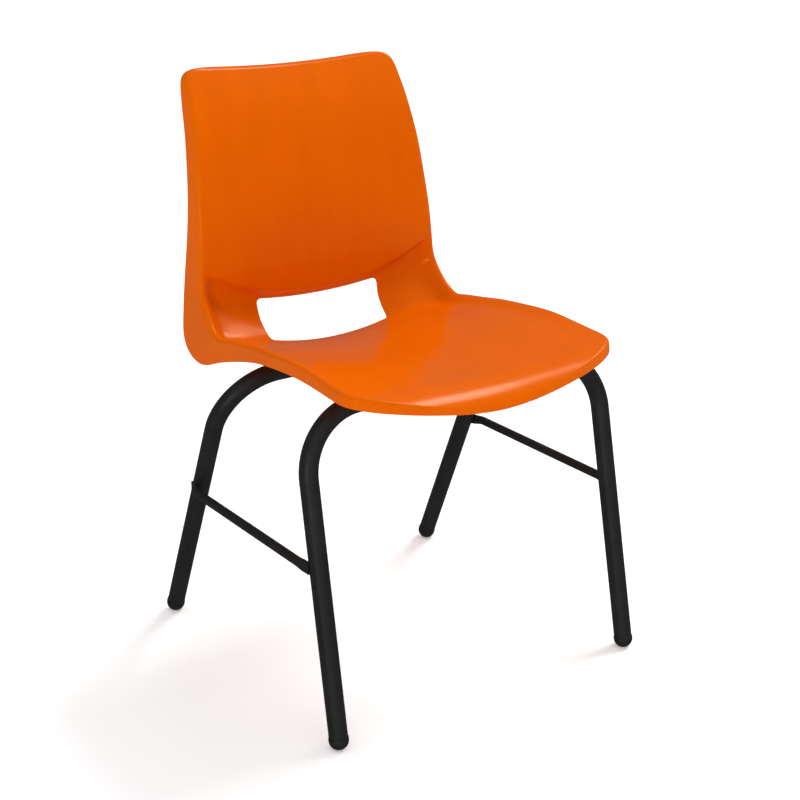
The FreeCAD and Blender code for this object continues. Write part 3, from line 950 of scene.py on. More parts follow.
@dataclass
class HandHold:
    """The smile-shaped slot between seat and back, in millimetres, cut square to its chord."""

    low: tuple[float, float] = (157.5, 412.0)
    high: tuple[float, float] = (186.5, 476.0)
    bottom: tuple[tuple[float, float], ...] = ((-101, 11), (0, 0), (101, 11))
    top: tuple[tuple[float, float], ...] = ((105, 75), (0, 70), (-105, 75))
    corner_radius: float = 7.0
    reach: float = 60.0
    zone_half: float = 130.0
    zone_rise: tuple[float, float] = (-30.0, 110.0)
    far_away: float = 1000.0

    def __post_init__(self) -> None:
        """Lays out the outline with its rounded corners."""
        low, high = np.array(self.low), np.array(self.high)
        self.up = (high - low) / np.linalg.norm(high - low)
        self.out = np.array([-self.up[1], self.up[0]])
        sharp = self._arc(self.bottom) + self._arc(self.top)
        self.core = self._shrunk(np.array(sharp), self.corner_radius)

    @staticmethod
    def _arc(three: Sequence[tuple[float, float]], steps: int = 40) -> list[tuple[float, float]]:
        """Points of a shallow arc through three points, taken as a parabola."""
        (x0, s0), (_, s1), (x2, _) = three
        made = []
        for i in range(steps + 1):
            x = x0 + (x2 - x0) * i / steps
            bow = (x / x0) ** 2
            made.append((x, s1 + (s0 - s1) * bow))
        return made

    @staticmethod
    def _shrunk(outline: np.ndarray, by: float) -> np.ndarray:
        """A closed outline moved inwards, less the points that land too near a side."""
        before = np.roll(outline, 1, axis=0)
        after = np.roll(outline, -1, axis=0)
        first = outline - before
        second = after - outline
        keep = (np.linalg.norm(first, axis=1) > 1e-6) & (np.linalg.norm(second, axis=1) > 1e-6)
        outline, first, second = outline[keep], first[keep], second[keep]
        n1 = np.stack([-first[:, 1], first[:, 0]], 1) / np.linalg.norm(first, axis=1)[:, None]
        n2 = np.stack([-second[:, 1], second[:, 0]], 1) / np.linalg.norm(second, axis=1)[:, None]
        mitre = n1 + n2
        mitre = mitre / np.sum(mitre * n1, axis=1)[:, None]
        moved = outline + mitre * by
        return moved[HandHold._gap(moved, outline) > by * 0.999 - 0.02]

    @staticmethod
    def _gap(points: np.ndarray, outline: np.ndarray) -> np.ndarray:
        """How far each point is from the nearest side of a closed outline."""
        side = np.roll(outline, -1, axis=0) - outline
        from_start = points[:, None, :] - outline[None]
        share = np.clip(np.sum(from_start * side, 2) / np.sum(side * side, 1), 0, 1)
        return np.linalg.norm(from_start - share[..., None] * side, axis=2).min(1)

    def distance(self, points: np.ndarray) -> np.ndarray:
        """How far each point is outside the slot, in millimetres; inside is negative."""
        flat = np.stack([points[:, 0], (points[:, 1:3] - np.array(self.low)) @ self.up], 1)
        depth = np.abs((points[:, 1:3] - np.array(self.low)) @ self.out)
        far = np.full(len(points), self.far_away)
        bottom, top = self.zone_rise
        near = (depth < self.reach) & (np.abs(flat[:, 0]) < self.zone_half)
        near &= (flat[:, 1] > bottom) & (flat[:, 1] < top)
        if not near.any():
            return far
        p = flat[near]
        a = self.core
        b = np.roll(a, -1, axis=0)
        ab = b - a
        gap = self._gap(p, a)
        crossing = (a[None, :, 1] > p[:, None, 1]) != (b[None, :, 1] > p[:, None, 1])
        with np.errstate(divide="ignore", invalid="ignore"):
            cut = a[:, 0] + (p[:, None, 1] - a[:, 1]) * ab[:, 0] / ab[:, 1]
        inside = (crossing & (p[:, None, 0] < cut)).sum(1) % 2 == 1
        far[near] = np.where(inside, -gap, gap) - self.corner_radius
        return far


@dataclass
class SeatShell:
    """The moulded shell: two skins on one grid, with rounded edges all round."""

    finishes: Finishes
    form: ShellForm = field(default_factory=ShellForm)
    slot: HandHold = field(default_factory=HandHold)
    edge_round: float = 1.3
    round_steps: int = 3
    end_rows: int = 26
    row_gap: float = 4.3
    fine_gap: float = 2.2
    fine_zone: tuple[float, float] = (425.0, 580.0)
    wall_columns: int = 7
    ridge_columns: int = 7
    panel_columns: int = 58

    def columns(self) -> np.ndarray:
        """Places across the shell."""
        half = np.concatenate(
            [
                np.linspace(0, 1, self.wall_columns, endpoint=False),
                np.linspace(1, 2, self.ridge_columns, endpoint=False),
                np.linspace(2, 3, self.panel_columns),
            ]
        )
        return np.concatenate([half, 6 - half[-2::-1]])

    def rows(self) -> np.ndarray:
        """Places along the shell, close together at both ends and about the slot."""
        form = self.form

        def end(span: float, power: float) -> np.ndarray:
            """Distances from an end that are even round its corner."""
            turn = np.linspace(math.pi / 2, 0, self.end_rows)
            reach = np.minimum(np.sin(turn) ** (2 / power), form.reach)
            stops = span * (1 - reach / form.reach)
            return np.unique(np.round(stops, 4))

        first = end(form.front_corner, form.front_power)
        last = form.length - end(form.top_corner, form.top_power)[::-1]
        low, high = self.fine_zone
        start, stop = form.front_corner, form.length - form.top_corner
        parts = [
            first,
            np.linspace(start, low, int((low - start) / self.row_gap), endpoint=False)[1:],
            np.linspace(low, high, int((high - low) / self.fine_gap), endpoint=False),
            np.linspace(high, stop, int((stop - high) / self.row_gap), endpoint=False),
            last,
        ]
        return np.concatenate(parts)

    def grid(self) -> tuple[np.ndarray, list[tuple[int, ...]]]:
        """The parameters of every grid point and the faces between them."""
        across, along = self.columns(), self.rows()
        c, v = np.meshgrid(across, along)
        width = len(across)
        faces = []
        for row in range(len(along) - 1):
            for column in range(width - 1):
                a = row * width + column
                faces.append((a, a + 1, a + width + 1, a + width))
        return np.stack([c.ravel(), v.ravel()], 1), faces

    def cut(
        self, params: np.ndarray, faces: list[tuple[int, ...]]
    ) -> tuple[np.ndarray, list[tuple[int, ...]]]:
        """Cuts the slot out of the grid.

        Args:
            params: The grid points' parameters.
            faces: The grid's faces.

        Returns:
            The parameters with the new points on the slot's outline, and the faces left.
        """
        gap = self.slot.distance(self.form.at(params[:, 0], params[:, 1])) - self.edge_round
        made: dict[tuple[int, int], int] = {}
        extra: list[np.ndarray] = []
        kept: list[tuple[int, ...]] = []

        def crossing(a: int, b: int) -> int:
            """The new point between two grid points on either side of the outline."""
            key = (min(a, b), max(a, b))
            if key not in made:
                low, high = params[key[0]], params[key[1]]
                share = gap[key[0]] / (gap[key[0]] - gap[key[1]])
                made[key] = len(params) + len(extra)
                extra.append(low + (high - low) * share)
            return made[key]

        for face in faces:
            inside = [gap[k] < 0 for k in face]
            if not any(inside):
                kept.append(face)
                continue
            if all(inside):
                continue
            outline = []
            for n, k in enumerate(face):
                following = face[(n + 1) % len(face)]
                if gap[k] >= 0:
                    outline.append(k)
                if (gap[k] < 0) != (gap[following] < 0):
                    outline.append(crossing(k, following))
            kept.append(tuple(outline))
        return np.concatenate([params, np.array(extra)]), kept

    @staticmethod
    def loops(faces: list[tuple[int, ...]]) -> list[list[int]]:
        """The open edges of a mesh as closed loops, each in its faces' own direction."""
        owner: dict[tuple[int, int], int] = {}
        for face in faces:
            for n, k in enumerate(face):
                owner[(k, face[(n + 1) % len(face)])] = 1
        after = {a: b for a, b in owner if (b, a) not in owner}
        found = []
        while after:
            start, here = next(iter(after.items()))
            loop = [start]
            del after[start]
            while here != start:
                loop.append(here)
                here = after.pop(here)
            found.append(loop)
        return found

    def build(self) -> bpy.types.Object:
        """Makes and dresses the shell."""
        params, faces = self.cut(*self.grid())
        outer = self.form.at(params[:, 0], params[:, 1])
        inner = self.form.at(params[:, 0], params[:, 1], self.form.wall)
        used = sorted({k for face in faces for k in face})
        number = {k: n for n, k in enumerate(used)}
        faces = [tuple(number[k] for k in face) for face in faces]
        outer, inner = outer[used], inner[used]
        count = len(outer)
        points = [outer, inner]
        total = 2 * count
        all_faces = list(faces) + [tuple(k + count for k in reversed(face)) for face in faces]
        for loop in self.loops(faces):
            rim, bands = self.rim(outer[loop], inner[loop], loop, [k + count for k in loop], total)
            points.append(rim)
            all_faces += bands
            total += len(rim)
        shell = mesh_object("seat_shell_moulding", np.concatenate(points) * MM, all_faces)
        sharpen(shell, 60)
        return dress(shell, self.finishes.shell, ["seat_shell"])

    def rim(
        self, outer: np.ndarray, inner: np.ndarray, first: list[int], last: list[int], start: int
    ) -> tuple[np.ndarray, list[tuple[int, ...]]]:
        """The rounded edge between the two skins along one loop.

        Args:
            outer: The loop's places on the outer skin.
            inner: Its places on the inner skin.
            first: Its vertex numbers on the outer skin.
            last: Its vertex numbers on the inner skin.
            start: The number of the first new vertex.

        Returns:
            The new vertices and the faces.
        """
        along = np.roll(outer, -1, 0) - np.roll(outer, 1, 0)
        through = inner - outer
        through /= np.linalg.norm(through, axis=1)[:, None]
        away = np.cross(along, -through)
        away /= np.linalg.norm(away, axis=1)[:, None]
        radius = self.edge_round
        rings = []
        for step in range(1, self.round_steps + 1):
            angle = step / self.round_steps * math.pi / 2
            out = away * radius * math.sin(angle)
            rings.append(outer + out + through * radius * (1 - math.cos(angle)))
        for step in range(self.round_steps, 0, -1):
            angle = step / self.round_steps * math.pi / 2
            out = away * radius * math.sin(angle)
            rings.append(inner + out - through * radius * (1 - math.cos(angle)))
        size = len(outer)
        numbers = [first]
        for n in range(len(rings)):
            numbers.append(list(range(start + n * size, start + (n + 1) * size)))
        numbers.append(last)
        bands = []
        for upper, lower in zip(numbers, numbers[1:]):
            for i in range(size):
                j = (i + 1) % size
                bands.append((upper[j], upper[i], lower[i], lower[j]))
        return np.concatenate(rings), bands


@dataclass
class ShellBosses:
    """The four screw bosses under the seat, each with six short ribs, in millimetres."""

    finishes: Finishes
    shell: bpy.types.Object
    seats: tuple[tuple[float, float, float], ...]
    radius: float = 11.0
    bore: float = 3.0
    bore_depth: float = 11.0
    bury: float = 1.6
    rib_count: int = 6
    rib_reach: float = 13.0
    rib_thickness: float = 1.8
    rib_drop: float = 2.5

    def underside(self, x: float, y: float, tree: BVHTree) -> float:
        """Height of the shell's underside over a point, in millimetres."""
        hit = tree.ray_cast(Vector((x * MM, y * MM, 0.38)), Vector((0, 0, 1)))[0]
        return hit.z / MM

    def boss(self, seat: tuple[float, float, float], tree: BVHTree, index: int) -> bpy.types.Object:
        """One hollow boss, whose top follows the shell.

        Args:
            seat: The middle of its lower face.
            tree: The shell's faces.
            index: Its number.

        Returns:
            The boss.
        """
        x, y, z = seat
        depth = self.bore_depth
        profile = [
            (0.0, 0.0),
            (self.radius + 3.2, 0.0),
            (self.radius + 1.0, -1.0),
            (self.radius + 0.2, -3.2),
            (self.radius, -5.0),
            (self.radius - 0.2, -99.0),
            (self.radius - 1.0, -100.0),
            (self.bore + 0.6, -100.0),
            (self.bore, -100.6),
            (self.bore, -101.0),
            (0.0, -101.0),
        ]
        points, faces = lathe(profile, 40)
        places = []
        for p in points:
            px, py = x + p.x, y + p.y
            if p.z > -50:
                height = self.underside(px, py, tree) + self.bury + p.z
            elif p.z > -100.3:
                height = z + (100.0 + p.z)
            else:
                height = z + (0.6 if p.z > -100.8 else depth)
            places.append((px * MM, py * MM, height * MM))
        return mesh_object(f"boss_{index}", places, faces)

    def ribs(self, seat: tuple[float, float, float], tree: BVHTree, index: int) -> bpy.types.Object:
        """The ribs of one boss: thin gussets that run out to nothing under the seat.

        Args:
            seat: The middle of the boss's lower face.
            tree: The shell's faces.
            index: Its number.

        Returns:
            The ribs.
        """
        x, y, z = seat
        points: list[tuple[float, float, float]] = []
        faces: list[list[int]] = []
        for n in range(self.rib_count):
            angle = 2 * math.pi * (n + 0.5) / self.rib_count
            out = Vector((math.cos(angle), math.sin(angle)))
            across = Vector((-out.y, out.x)) * self.rib_thickness / 2
            base = len(points)
            for step in range(5):
                reach = self.radius - 1 + self.rib_reach * step / 4
                for sign in (-1, 1):
                    px = x + out.x * reach + across.x * sign
                    py = y + out.y * reach + across.y * sign
                    top = self.underside(px, py, tree) + self.bury
                    foot = z + self.rib_drop + (top - 1.0 - z - self.rib_drop) * (step / 4) ** 1.6
                    points.append((px * MM, py * MM, top * MM))
                    points.append((px * MM, py * MM, min(foot, top - 0.8) * MM))
            for step in range(4):
                a = base + step * 4
                b = a + 4
                faces += [[a, b, b + 1, a + 1], [a + 3, b + 3, b + 2, a + 2]]
                faces += [[a + 2, b + 2, b, a], [a + 1, b + 1, b + 3, a + 3]]
            faces.append([base, base + 1, base + 3, base + 2])
            faces.append([base + 18, base + 19, base + 17, base + 16])
        return mesh_object(f"ribs_{index}", points, faces)

    def build(self) -> bpy.types.Object:
        """Makes and dresses the bosses."""
        graph = bpy.context.evaluated_depsgraph_get()
        tree = BVHTree.FromObject(self.shell, graph)
        parts = []
        for index, seat in enumerate(self.seats):
            parts.append(self.boss(seat, tree, index))
            parts.append(self.ribs(seat, tree, index))
        whole = joined("seat_shell_bosses", parts)
        whole.data.shade_smooth()
        sharpen(whole, 40)
        return dress(whole, self.finishes.shell)


# ---------------------------------------------------------------- frame
@dataclass
class LegFrame:
    """One bent tube: two legs joined by a cross tube, in millimetres."""

    finishes: Finishes
    recipe: NodeRecipe
    end: End
    foot_x: float
    foot_y: float
    lean: float
    splay: float
    cross_z: float
    tube: float = 25.4
    bend_radius: float = 86.0
    lip: float = 4.0
    sides: int = 64
    bend_steps: int = 36

    def placement(self) -> Matrix:
        """The frame's own plane, leaning about the line of its feet."""
        lift = Matrix.Translation(Vector((0, self.foot_y, self.tube / 2)))
        return lift @ Matrix.Rotation(-math.radians(self.lean), 4, "X")

    def half_path(self) -> list[Vector]:
        """The centre line from one foot to the middle of the cross tube, in the frame's plane."""
        splay = math.radians(self.splay)
        top = (self.cross_z - self.tube / 2) / math.cos(math.radians(self.lean))
        centre_z = top - self.bend_radius
        start_z = centre_z + self.bend_radius * math.sin(splay)
        start_x = self.foot_x - start_z * math.tan(splay)
        centre_x = start_x - self.bend_radius * math.cos(splay)
        points = [Vector((self.foot_x - self.lip * math.tan(splay), 0, self.lip))]
        turn = math.pi / 2 - splay
        for i in range(self.bend_steps + 1):
            angle = splay + turn * i / self.bend_steps
            x = centre_x + self.bend_radius * math.cos(angle)
            points.append(Vector((x, 0, centre_z + self.bend_radius * math.sin(angle))))
        return points

    def path(self) -> list[Vector]:
        """The whole centre line in the chair's frame, in metres."""
        half = self.half_path()
        other = [Vector((-p.x, p.y, p.z)) for p in reversed(half)]
        place = self.placement()
        return [(place @ p) * MM for p in half + other]

    def axis_at(self, height: float) -> Vector:
        """Where the left leg's centre line passes a height above the floor, in millimetres."""
        half = self.half_path()
        place = self.placement()
        low, high = place @ half[0], place @ half[1]
        return low + (high - low) * ((height - low.z) / (high.z - low.z))

    def cross_centre(self) -> Vector:
        """The middle of the cross tube, in millimetres."""
        last = self.half_path()[-1]
        return self.placement() @ Vector((0, 0, last.z))

    def foot_matrix(self, side: Side) -> Matrix:
        """The place and turn of a foot plug, in millimetres."""
        splay = Matrix.Rotation(-side.value * math.radians(self.splay), 4, "Y")
        return self.placement() @ Matrix.Translation(Vector((side.value * self.foot_x, 0, 0))) @ splay

    def build(self) -> bpy.types.Object:
        """Makes and dresses the tube."""
        name = f"{self.end.value}_leg_tube"
        tube = self.recipe.run(
            path_object(name + "_path", self.path()),
            name,
            Tube_Radius=self.tube / 2 * MM,
            Sides=self.sides,
            Finish=self.finishes.frame,
        )
        sharpen(tube, 60)
        return dress(tube, self.finishes.frame, [f"{self.end.value}_leg_frame"])


@dataclass
class FootPlugs:
    """The four moulded plugs: a lip under each tube's end and a domed sole, in millimetres."""

    finishes: Finishes
    frames: tuple[LegFrame, LegFrame]
    dome: float = 13.5
    lip: float = 4.0
    stem: float = 11.2
    stem_length: float = 24.0
    stem_lead: float = 1.2
    lip_round: float = 1.0
    groove: float = 0.35
    sole_steps: int = 18
    sides: int = 56

    def profile(self) -> list[tuple[float, float]]:
        """The turned outline from the top of the stem to the middle of the sole."""
        top = self.lip + self.stem_length
        made = [(0.0, top), (self.stem - self.stem_lead, top)]
        made += [(self.stem, top - 1.5), (self.stem, self.lip), (self.dome - self.lip_round, self.lip)]
        made += [(self.dome - 0.3, self.lip - 0.3), (self.dome, self.lip - self.lip_round)]
        made += [(self.dome, 0.9), (self.dome - self.groove, 0.5), (self.dome - self.groove, 0.1)]
        for i in range(self.sole_steps + 1):
            angle = math.radians(2 + 88 * i / self.sole_steps)
            made.append((self.dome * math.cos(angle), -self.dome * math.sin(angle)))
        made[-1] = (0.0, -self.dome)
        return made

    def build(self) -> list[bpy.types.Object]:
        """Makes and dresses the plugs."""
        made = []
        for leg in self.frames:
            for side in Side:
                label = f"{leg.end.value}_{side.name.lower()}_foot_plug"
                points, faces = lathe(self.profile(), self.sides)
                place = leg.foot_matrix(side)
                places = []
                for p in points:
                    world = place @ p
                    places.append((world.x * MM, world.y * MM, max(world.z, 0.0) * MM))
                plug = mesh_object(label + "_moulding", places, faces)
                sharpen(plug, 40)
                made.append(dress(plug, self.finishes.plug, [label]))
        return made


@dataclass
class Stretcher:
    """A side bar: a round tube with both ends pressed flat against the legs, in millimetres."""

    finishes: Finishes
    front: LegFrame
    rear: LegFrame
    side: Side
    dia: float = 12.7
    height: float = 239.0
    x: float = 254.4
    thick: float = 4.0
    front_thick: float = 6.0
    tall: float = 15.5
    front_start: float = 3.0
    front_flat: float = 3.0
    rear_flat: float = 5.0
    rear_reach: float = 2.5
    rear_bury: float = 1.4
    neck: float = 18.0
    sides: int = 40

    def outline(self, round_share: float, thick: float) -> list[tuple[float, float]]:
        """The section between the pressed end (0), of that thickness, and the round tube (1)."""
        radius = thick / 2
        reach = self.tall / 2 - radius
        made = []
        for i in range(self.sides):
            angle = 2 * math.pi * i / self.sides
            ca, sa = math.cos(angle), math.sin(angle)
            flat_x = radius * math.copysign(min(1.0, abs(ca) * 1.8), ca)
            flat_z = math.copysign(reach * min(1.0, abs(sa) * 1.25), sa) + radius * sa
            x = flat_x + (self.dia / 2 * ca - flat_x) * round_share
            z = flat_z + (self.dia / 2 * sa - flat_z) * round_share
            made.append((x, z))
        return made

    def stops(self) -> list[tuple[float, float, float]]:
        """(y, centre x, round share) along the bar."""
        leg = self.front.tube / 2
        front = self.front.axis_at(self.height)
        rear = self.rear.axis_at(self.height)
        rear_x = rear.x + leg + self.thick / 2 - self.rear_bury
        start = front.y + self.front_start
        flat_a = front.y + leg + self.front_flat
        flat_b = rear.y - self.rear_flat
        made = [(start, self.x, 0.0), (flat_a, self.x, 0.0)]
        steps = 12
        for i in range(1, steps + 1):
            made.append((flat_a + self.neck * i / steps, self.x, float(ease(i / steps))))
        for i in range(steps + 1):
            share = float(ease(i / steps))
            y = flat_b - self.neck + self.neck * i / steps
            made.append((y, self.x + (rear_x - self.x) * share, 1 - share))
        made.append((rear.y + self.rear_reach - 0.6, rear_x, 0.0))
        made.append((rear.y + self.rear_reach, rear_x, 0.0))
        return made

    def build(self) -> bpy.types.Object:
        """Makes and dresses the bar."""
        label = f"{self.side.name.lower()}_stretcher"
        points, rings = [], []
        stops = self.stops()
        for n, (y, x, share) in enumerate(stops):
            rings.append(list(range(len(points), len(points) + self.sides)))
            shrink = 0.94 if n in (0, len(stops) - 1) else 1.0
            thick = self.front_thick if n < len(stops) / 2 else self.thick
            for dx, dz in self.outline(share, thick):
                place = (x + dx * shrink) * self.side.value
                points.append((place * MM, y * MM, (self.height + dz * shrink) * MM))
        faces = []
        for first, second in zip(rings, rings[1:]):
            for i in range(self.sides):
                j = (i + 1) % self.sides
                quad = [first[i], first[j], second[j], second[i]]
                faces.append(quad if self.side is Side.RIGHT else quad[::-1])
        first_cap, last_cap = rings[0][::-1], rings[-1]
        if self.side is Side.LEFT:
            first_cap, last_cap = first_cap[::-1], last_cap[::-1]
        faces += [first_cap, last_cap]
        bar = mesh_object(label + "_bar", points, faces)
        sharpen(bar, 45)
        return dress(bar, self.finishes.frame, [label])


@dataclass
class SeatRail:
    """A short tube under the seat from cross tube to cross tube, in millimetres."""

    finishes: Finishes
    recipe: NodeRecipe
    front: LegFrame
    rear: LegFrame
    side: Side
    dia: float = 19.0
    x: float = 62.0
    bite: float = 1.0
    sides: int = 48

    def build(self) -> bpy.types.Object:
        """Makes and dresses the rail; its ends stop inside the walls of the cross tubes."""
        label = f"{self.side.name.lower()}_seat_rail"
        begin, end = self.front.cross_centre(), self.rear.cross_centre()
        along = (end - begin).normalized()
        inset = self.front.tube / 2 - self.bite
        across = Vector((self.x * self.side.value, 0, 0))
        path = [(begin + across + along * inset) * MM, (end + across - along * inset) * MM]
        rail = self.recipe.run(
            path_object(label + "_path", path),
            label + "_tube",
            Tube_Radius=self.dia / 2 * MM,
            Sides=self.sides,
            Finish=self.finishes.frame,
        )
        sharpen(rail, 60)
        return dress(rail, self.finishes.frame, [label])


@dataclass
class MountingPlate:
    """A steel tab with rounded corners and a clearance hole, in millimetres."""

    finishes: Finishes
    end: End
    side: Side
    seat: tuple[float, float, float]
    width: float = 34.0
    length: float = 44.0
    thickness: float = 3.0
    hole: float = 6.6
    corner: float = 5.0
    near: float = 13.0
    chamfer: float = 0.5
    hole_chamfer: float = 0.3
    steps: int = 8

    def outline(self, shrink: float) -> list[tuple[float, float]]:
        """The rounded rectangle about the hole, drawn anticlockwise."""
        towards = -1 if self.end is End.FRONT else 1
        near = -towards * self.near
        far = near + towards * self.length
        low, high = min(near, far) + shrink, max(near, far) - shrink
        half = self.width / 2 - shrink
        radius = self.corner - shrink
        made = []
        corners = ((half, low, -90), (half, high, 0), (-half, high, 90), (-half, low, 180))
        for x, y, start in corners:
            cx = x - math.copysign(radius, x)
            cy = y + radius if y == low else y - radius
            for i in range(self.steps + 1):
                angle = math.radians(start + 90 * i / self.steps)
                made.append((cx + radius * math.cos(angle), cy + radius * math.sin(angle)))
        return made

    def ring(self, outline: list[tuple[float, float]], grow: float) -> list[tuple[float, float]]:
        """The hole's edge, with one point towards each point of the outline."""
        radius = self.hole / 2 + grow
        made = []
        for x, y in outline:
            reach = math.hypot(x, y)
            made.append((x / reach * radius, y / reach * radius))
        return made

    def build(self) -> bpy.types.Object:
        """Makes and dresses the plate."""
        label = f"{self.end.value}_{self.side.name.lower()}_mounting_plate"
        full, small = self.outline(0.0), self.outline(self.chamfer)
        low, high = -self.thickness, 0.0
        hole, wide = self.ring(full, 0.0), self.ring(full, self.hole_chamfer)
        levels = [
            (small, high),
            (full, high - self.chamfer),
            (full, low + self.chamfer),
            (small, low),
            (wide, low),
            (hole, low + self.hole_chamfer),
            (hole, high - self.hole_chamfer),
            (wide, high),
        ]
        x0, y0, z0 = self.seat
        points = [((x0 + x) * MM, (y0 + y) * MM, (z0 + z) * MM) for ring, z in levels for x, y in ring]
        size = len(full)
        faces = []
        for n in range(len(levels)):
            upper, lower = n * size, (n + 1) % len(levels) * size
            for i in range(size):
                j = (i + 1) % size
                faces.append([upper + i, lower + i, lower + j, upper + j])
        plate = mesh_object(label + "_tab", points, faces)
        sharpen(plate, 30)
        return dress(plate, self.finishes.frame, [label])


@dataclass
class Fixings:
    """The four pan-head screws and their washers, in millimetres."""

    finishes: Finishes
    recipe: NodeRecipe
    seats: tuple[tuple[float, float, float], ...]
    plate: float = 3.0
    washer_dia: float = 16.0
    washer_thickness: float = 1.5
    shank: float = 6.0
    length: float = 12.0
    head: float = 12.0
    head_height: float = 3.6
    recess_length: float = 6.0
    recess_width: float = 1.3
    recess_depth: float = 2.0
    clearance: float = 0.2
    washer_edge: float = 0.25
    point: float = 1.0
    thread_turns: int = 9
    thread_depth: float = 0.45
    head_edge: float = 1.2
    sides: int = 48
    most_turn: float = 1.5
    seed: int = 7

    def washer(self) -> bpy.types.Object:
        """One washer with eased edges, its upper face at zero."""
        outer, inner = self.washer_dia / 2, self.shank / 2 + self.clearance
        low = -self.washer_thickness
        ease_by = self.washer_edge
        profile = [
            (inner + ease_by, 0.0),
            (outer - ease_by, 0.0),
            (outer, -ease_by),
            (outer, low + ease_by),
            (outer - ease_by, low),
            (inner + ease_by, low),
            (inner, low + ease_by),
            (inner, -ease_by),
            (inner + ease_by, 0.0),
        ]
        points, faces = lathe([(r * MM, z * MM) for r, z in profile], self.sides)
        washer = mesh_object("washer_master", points, faces)
        self.weld(washer)
        return washer

    def screw(self) -> bpy.types.Object:
        """One screw, point up, with its bearing face at zero and a threaded shank."""
        shank = self.shank / 2
        profile = [(0.0, self.length), (shank - self.point, self.length)]
        pitch = (self.length - self.point) / self.thread_turns
        for n in range(self.thread_turns):
            top = self.length - 0.6 - n * pitch
            profile += [(shank, top), (shank - self.thread_depth, top - pitch * 0.5)]
        radius = self.head / 2
        profile += [(shank, 0.0), (radius - 0.3, 0.0), (radius, -0.3)]
        steps = 8
        for i in range(1, steps + 1):
            angle = math.pi / 2 * i / steps
            drop = self.head_edge + (self.head_height - self.head_edge) * math.sin(angle)
            profile.append((radius * (0.45 + 0.55 * math.cos(angle)), -drop))
        profile.append((0.0, -self.head_height))
        points, faces = lathe([(r * MM, z * MM) for r, z in profile], self.sides)
        screw = mesh_object("screw_master", points, faces)
        cutter = self.cross()
        cut = screw.modifiers.new("recess", "BOOLEAN")
        cut.operation = "DIFFERENCE"
        cut.solver = "EXACT"
        cut.object = cutter
        made = settled(screw, "screw_ready")
        discard(cutter)
        return made

    def cross(self) -> bpy.types.Object:
        """The cutter for the cross recess, tapered towards its bottom."""
        bottom = -self.head_height + self.recess_depth
        top = -self.head_height - 1.0
        wide, narrow = self.recess_width / 2, self.recess_width / 3
        far, close = self.recess_length / 2, self.recess_length / 2 - 1.0

        def star(arm: float, half: float) -> list[tuple[float, float]]:
            """A twelve-sided cross."""
            quarter = [(half, half), (half, arm), (-half, arm)]
            made = []
            for _ in range(4):
                made += quarter
                quarter = [(-y, x) for x, y in quarter]
            return made

        rim, base = star(far, wide), star(close, narrow)
        points = [(x * MM, y * MM, top * MM) for x, y in rim]
        points += [(x * MM, y * MM, bottom * MM) for x, y in base]
        size = len(rim)
        faces = [list(range(size))[::-1], list(range(size, 2 * size))]
        for i in range(size):
            j = (i + 1) % size
            faces.append([i, j, size + j, size + i])
        cutter = mesh_object("recess_cutter", points, faces)
        self.weld(cutter)
        return cutter

    @staticmethod
    def weld(obj: bpy.types.Object) -> None:
        """Merges doubled points and turns every face outwards."""
        whole = bmesh.new()
        whole.from_mesh(obj.data)
        bmesh.ops.remove_doubles(whole, verts=whole.verts, dist=1e-6)
        bmesh.ops.recalc_face_normals(whole, faces=whole.faces)
        whole.to_mesh(obj.data)
        whole.free()

    def spread(
        self, master: bpy.types.Object, name: str, drop: float, turn: float, node: str
    ) -> bpy.types.Object:
        """Copies one fixing to its four places.

        Args:
            master: The fixing at the origin; it is removed.
            name: The piece's name.
            drop: How far below the plates' upper faces it sits.
            turn: The most that a copy is turned, in radians.
            node: The CAD node that the piece stands for.

        Returns:
            The dressed piece.
        """
        places = [Vector((x, y, z - drop)) * MM for x, y, z in self.seats]
        piece = self.recipe.run(
            mesh_object(name + "_points", places, []),
            name,
            Fixing=master,
            Most_Turn=turn,
            Seed=self.seed,
            Finish=self.finishes.hardware,
        )
        discard(master)
        sharpen(piece, 35)
        return dress(piece, self.finishes.hardware, [node])

    def build(self) -> list[bpy.types.Object]:
        """Makes and dresses the washers and the screws."""
        washers = self.spread(self.washer(), "plated_washers", self.plate, 0.0, "fixing_washers")
        below = self.plate + self.washer_thickness
        screws = self.spread(self.screw(), "pan_head_screws", below, self.most_turn, "fixing_screws")
        return [washers, screws]


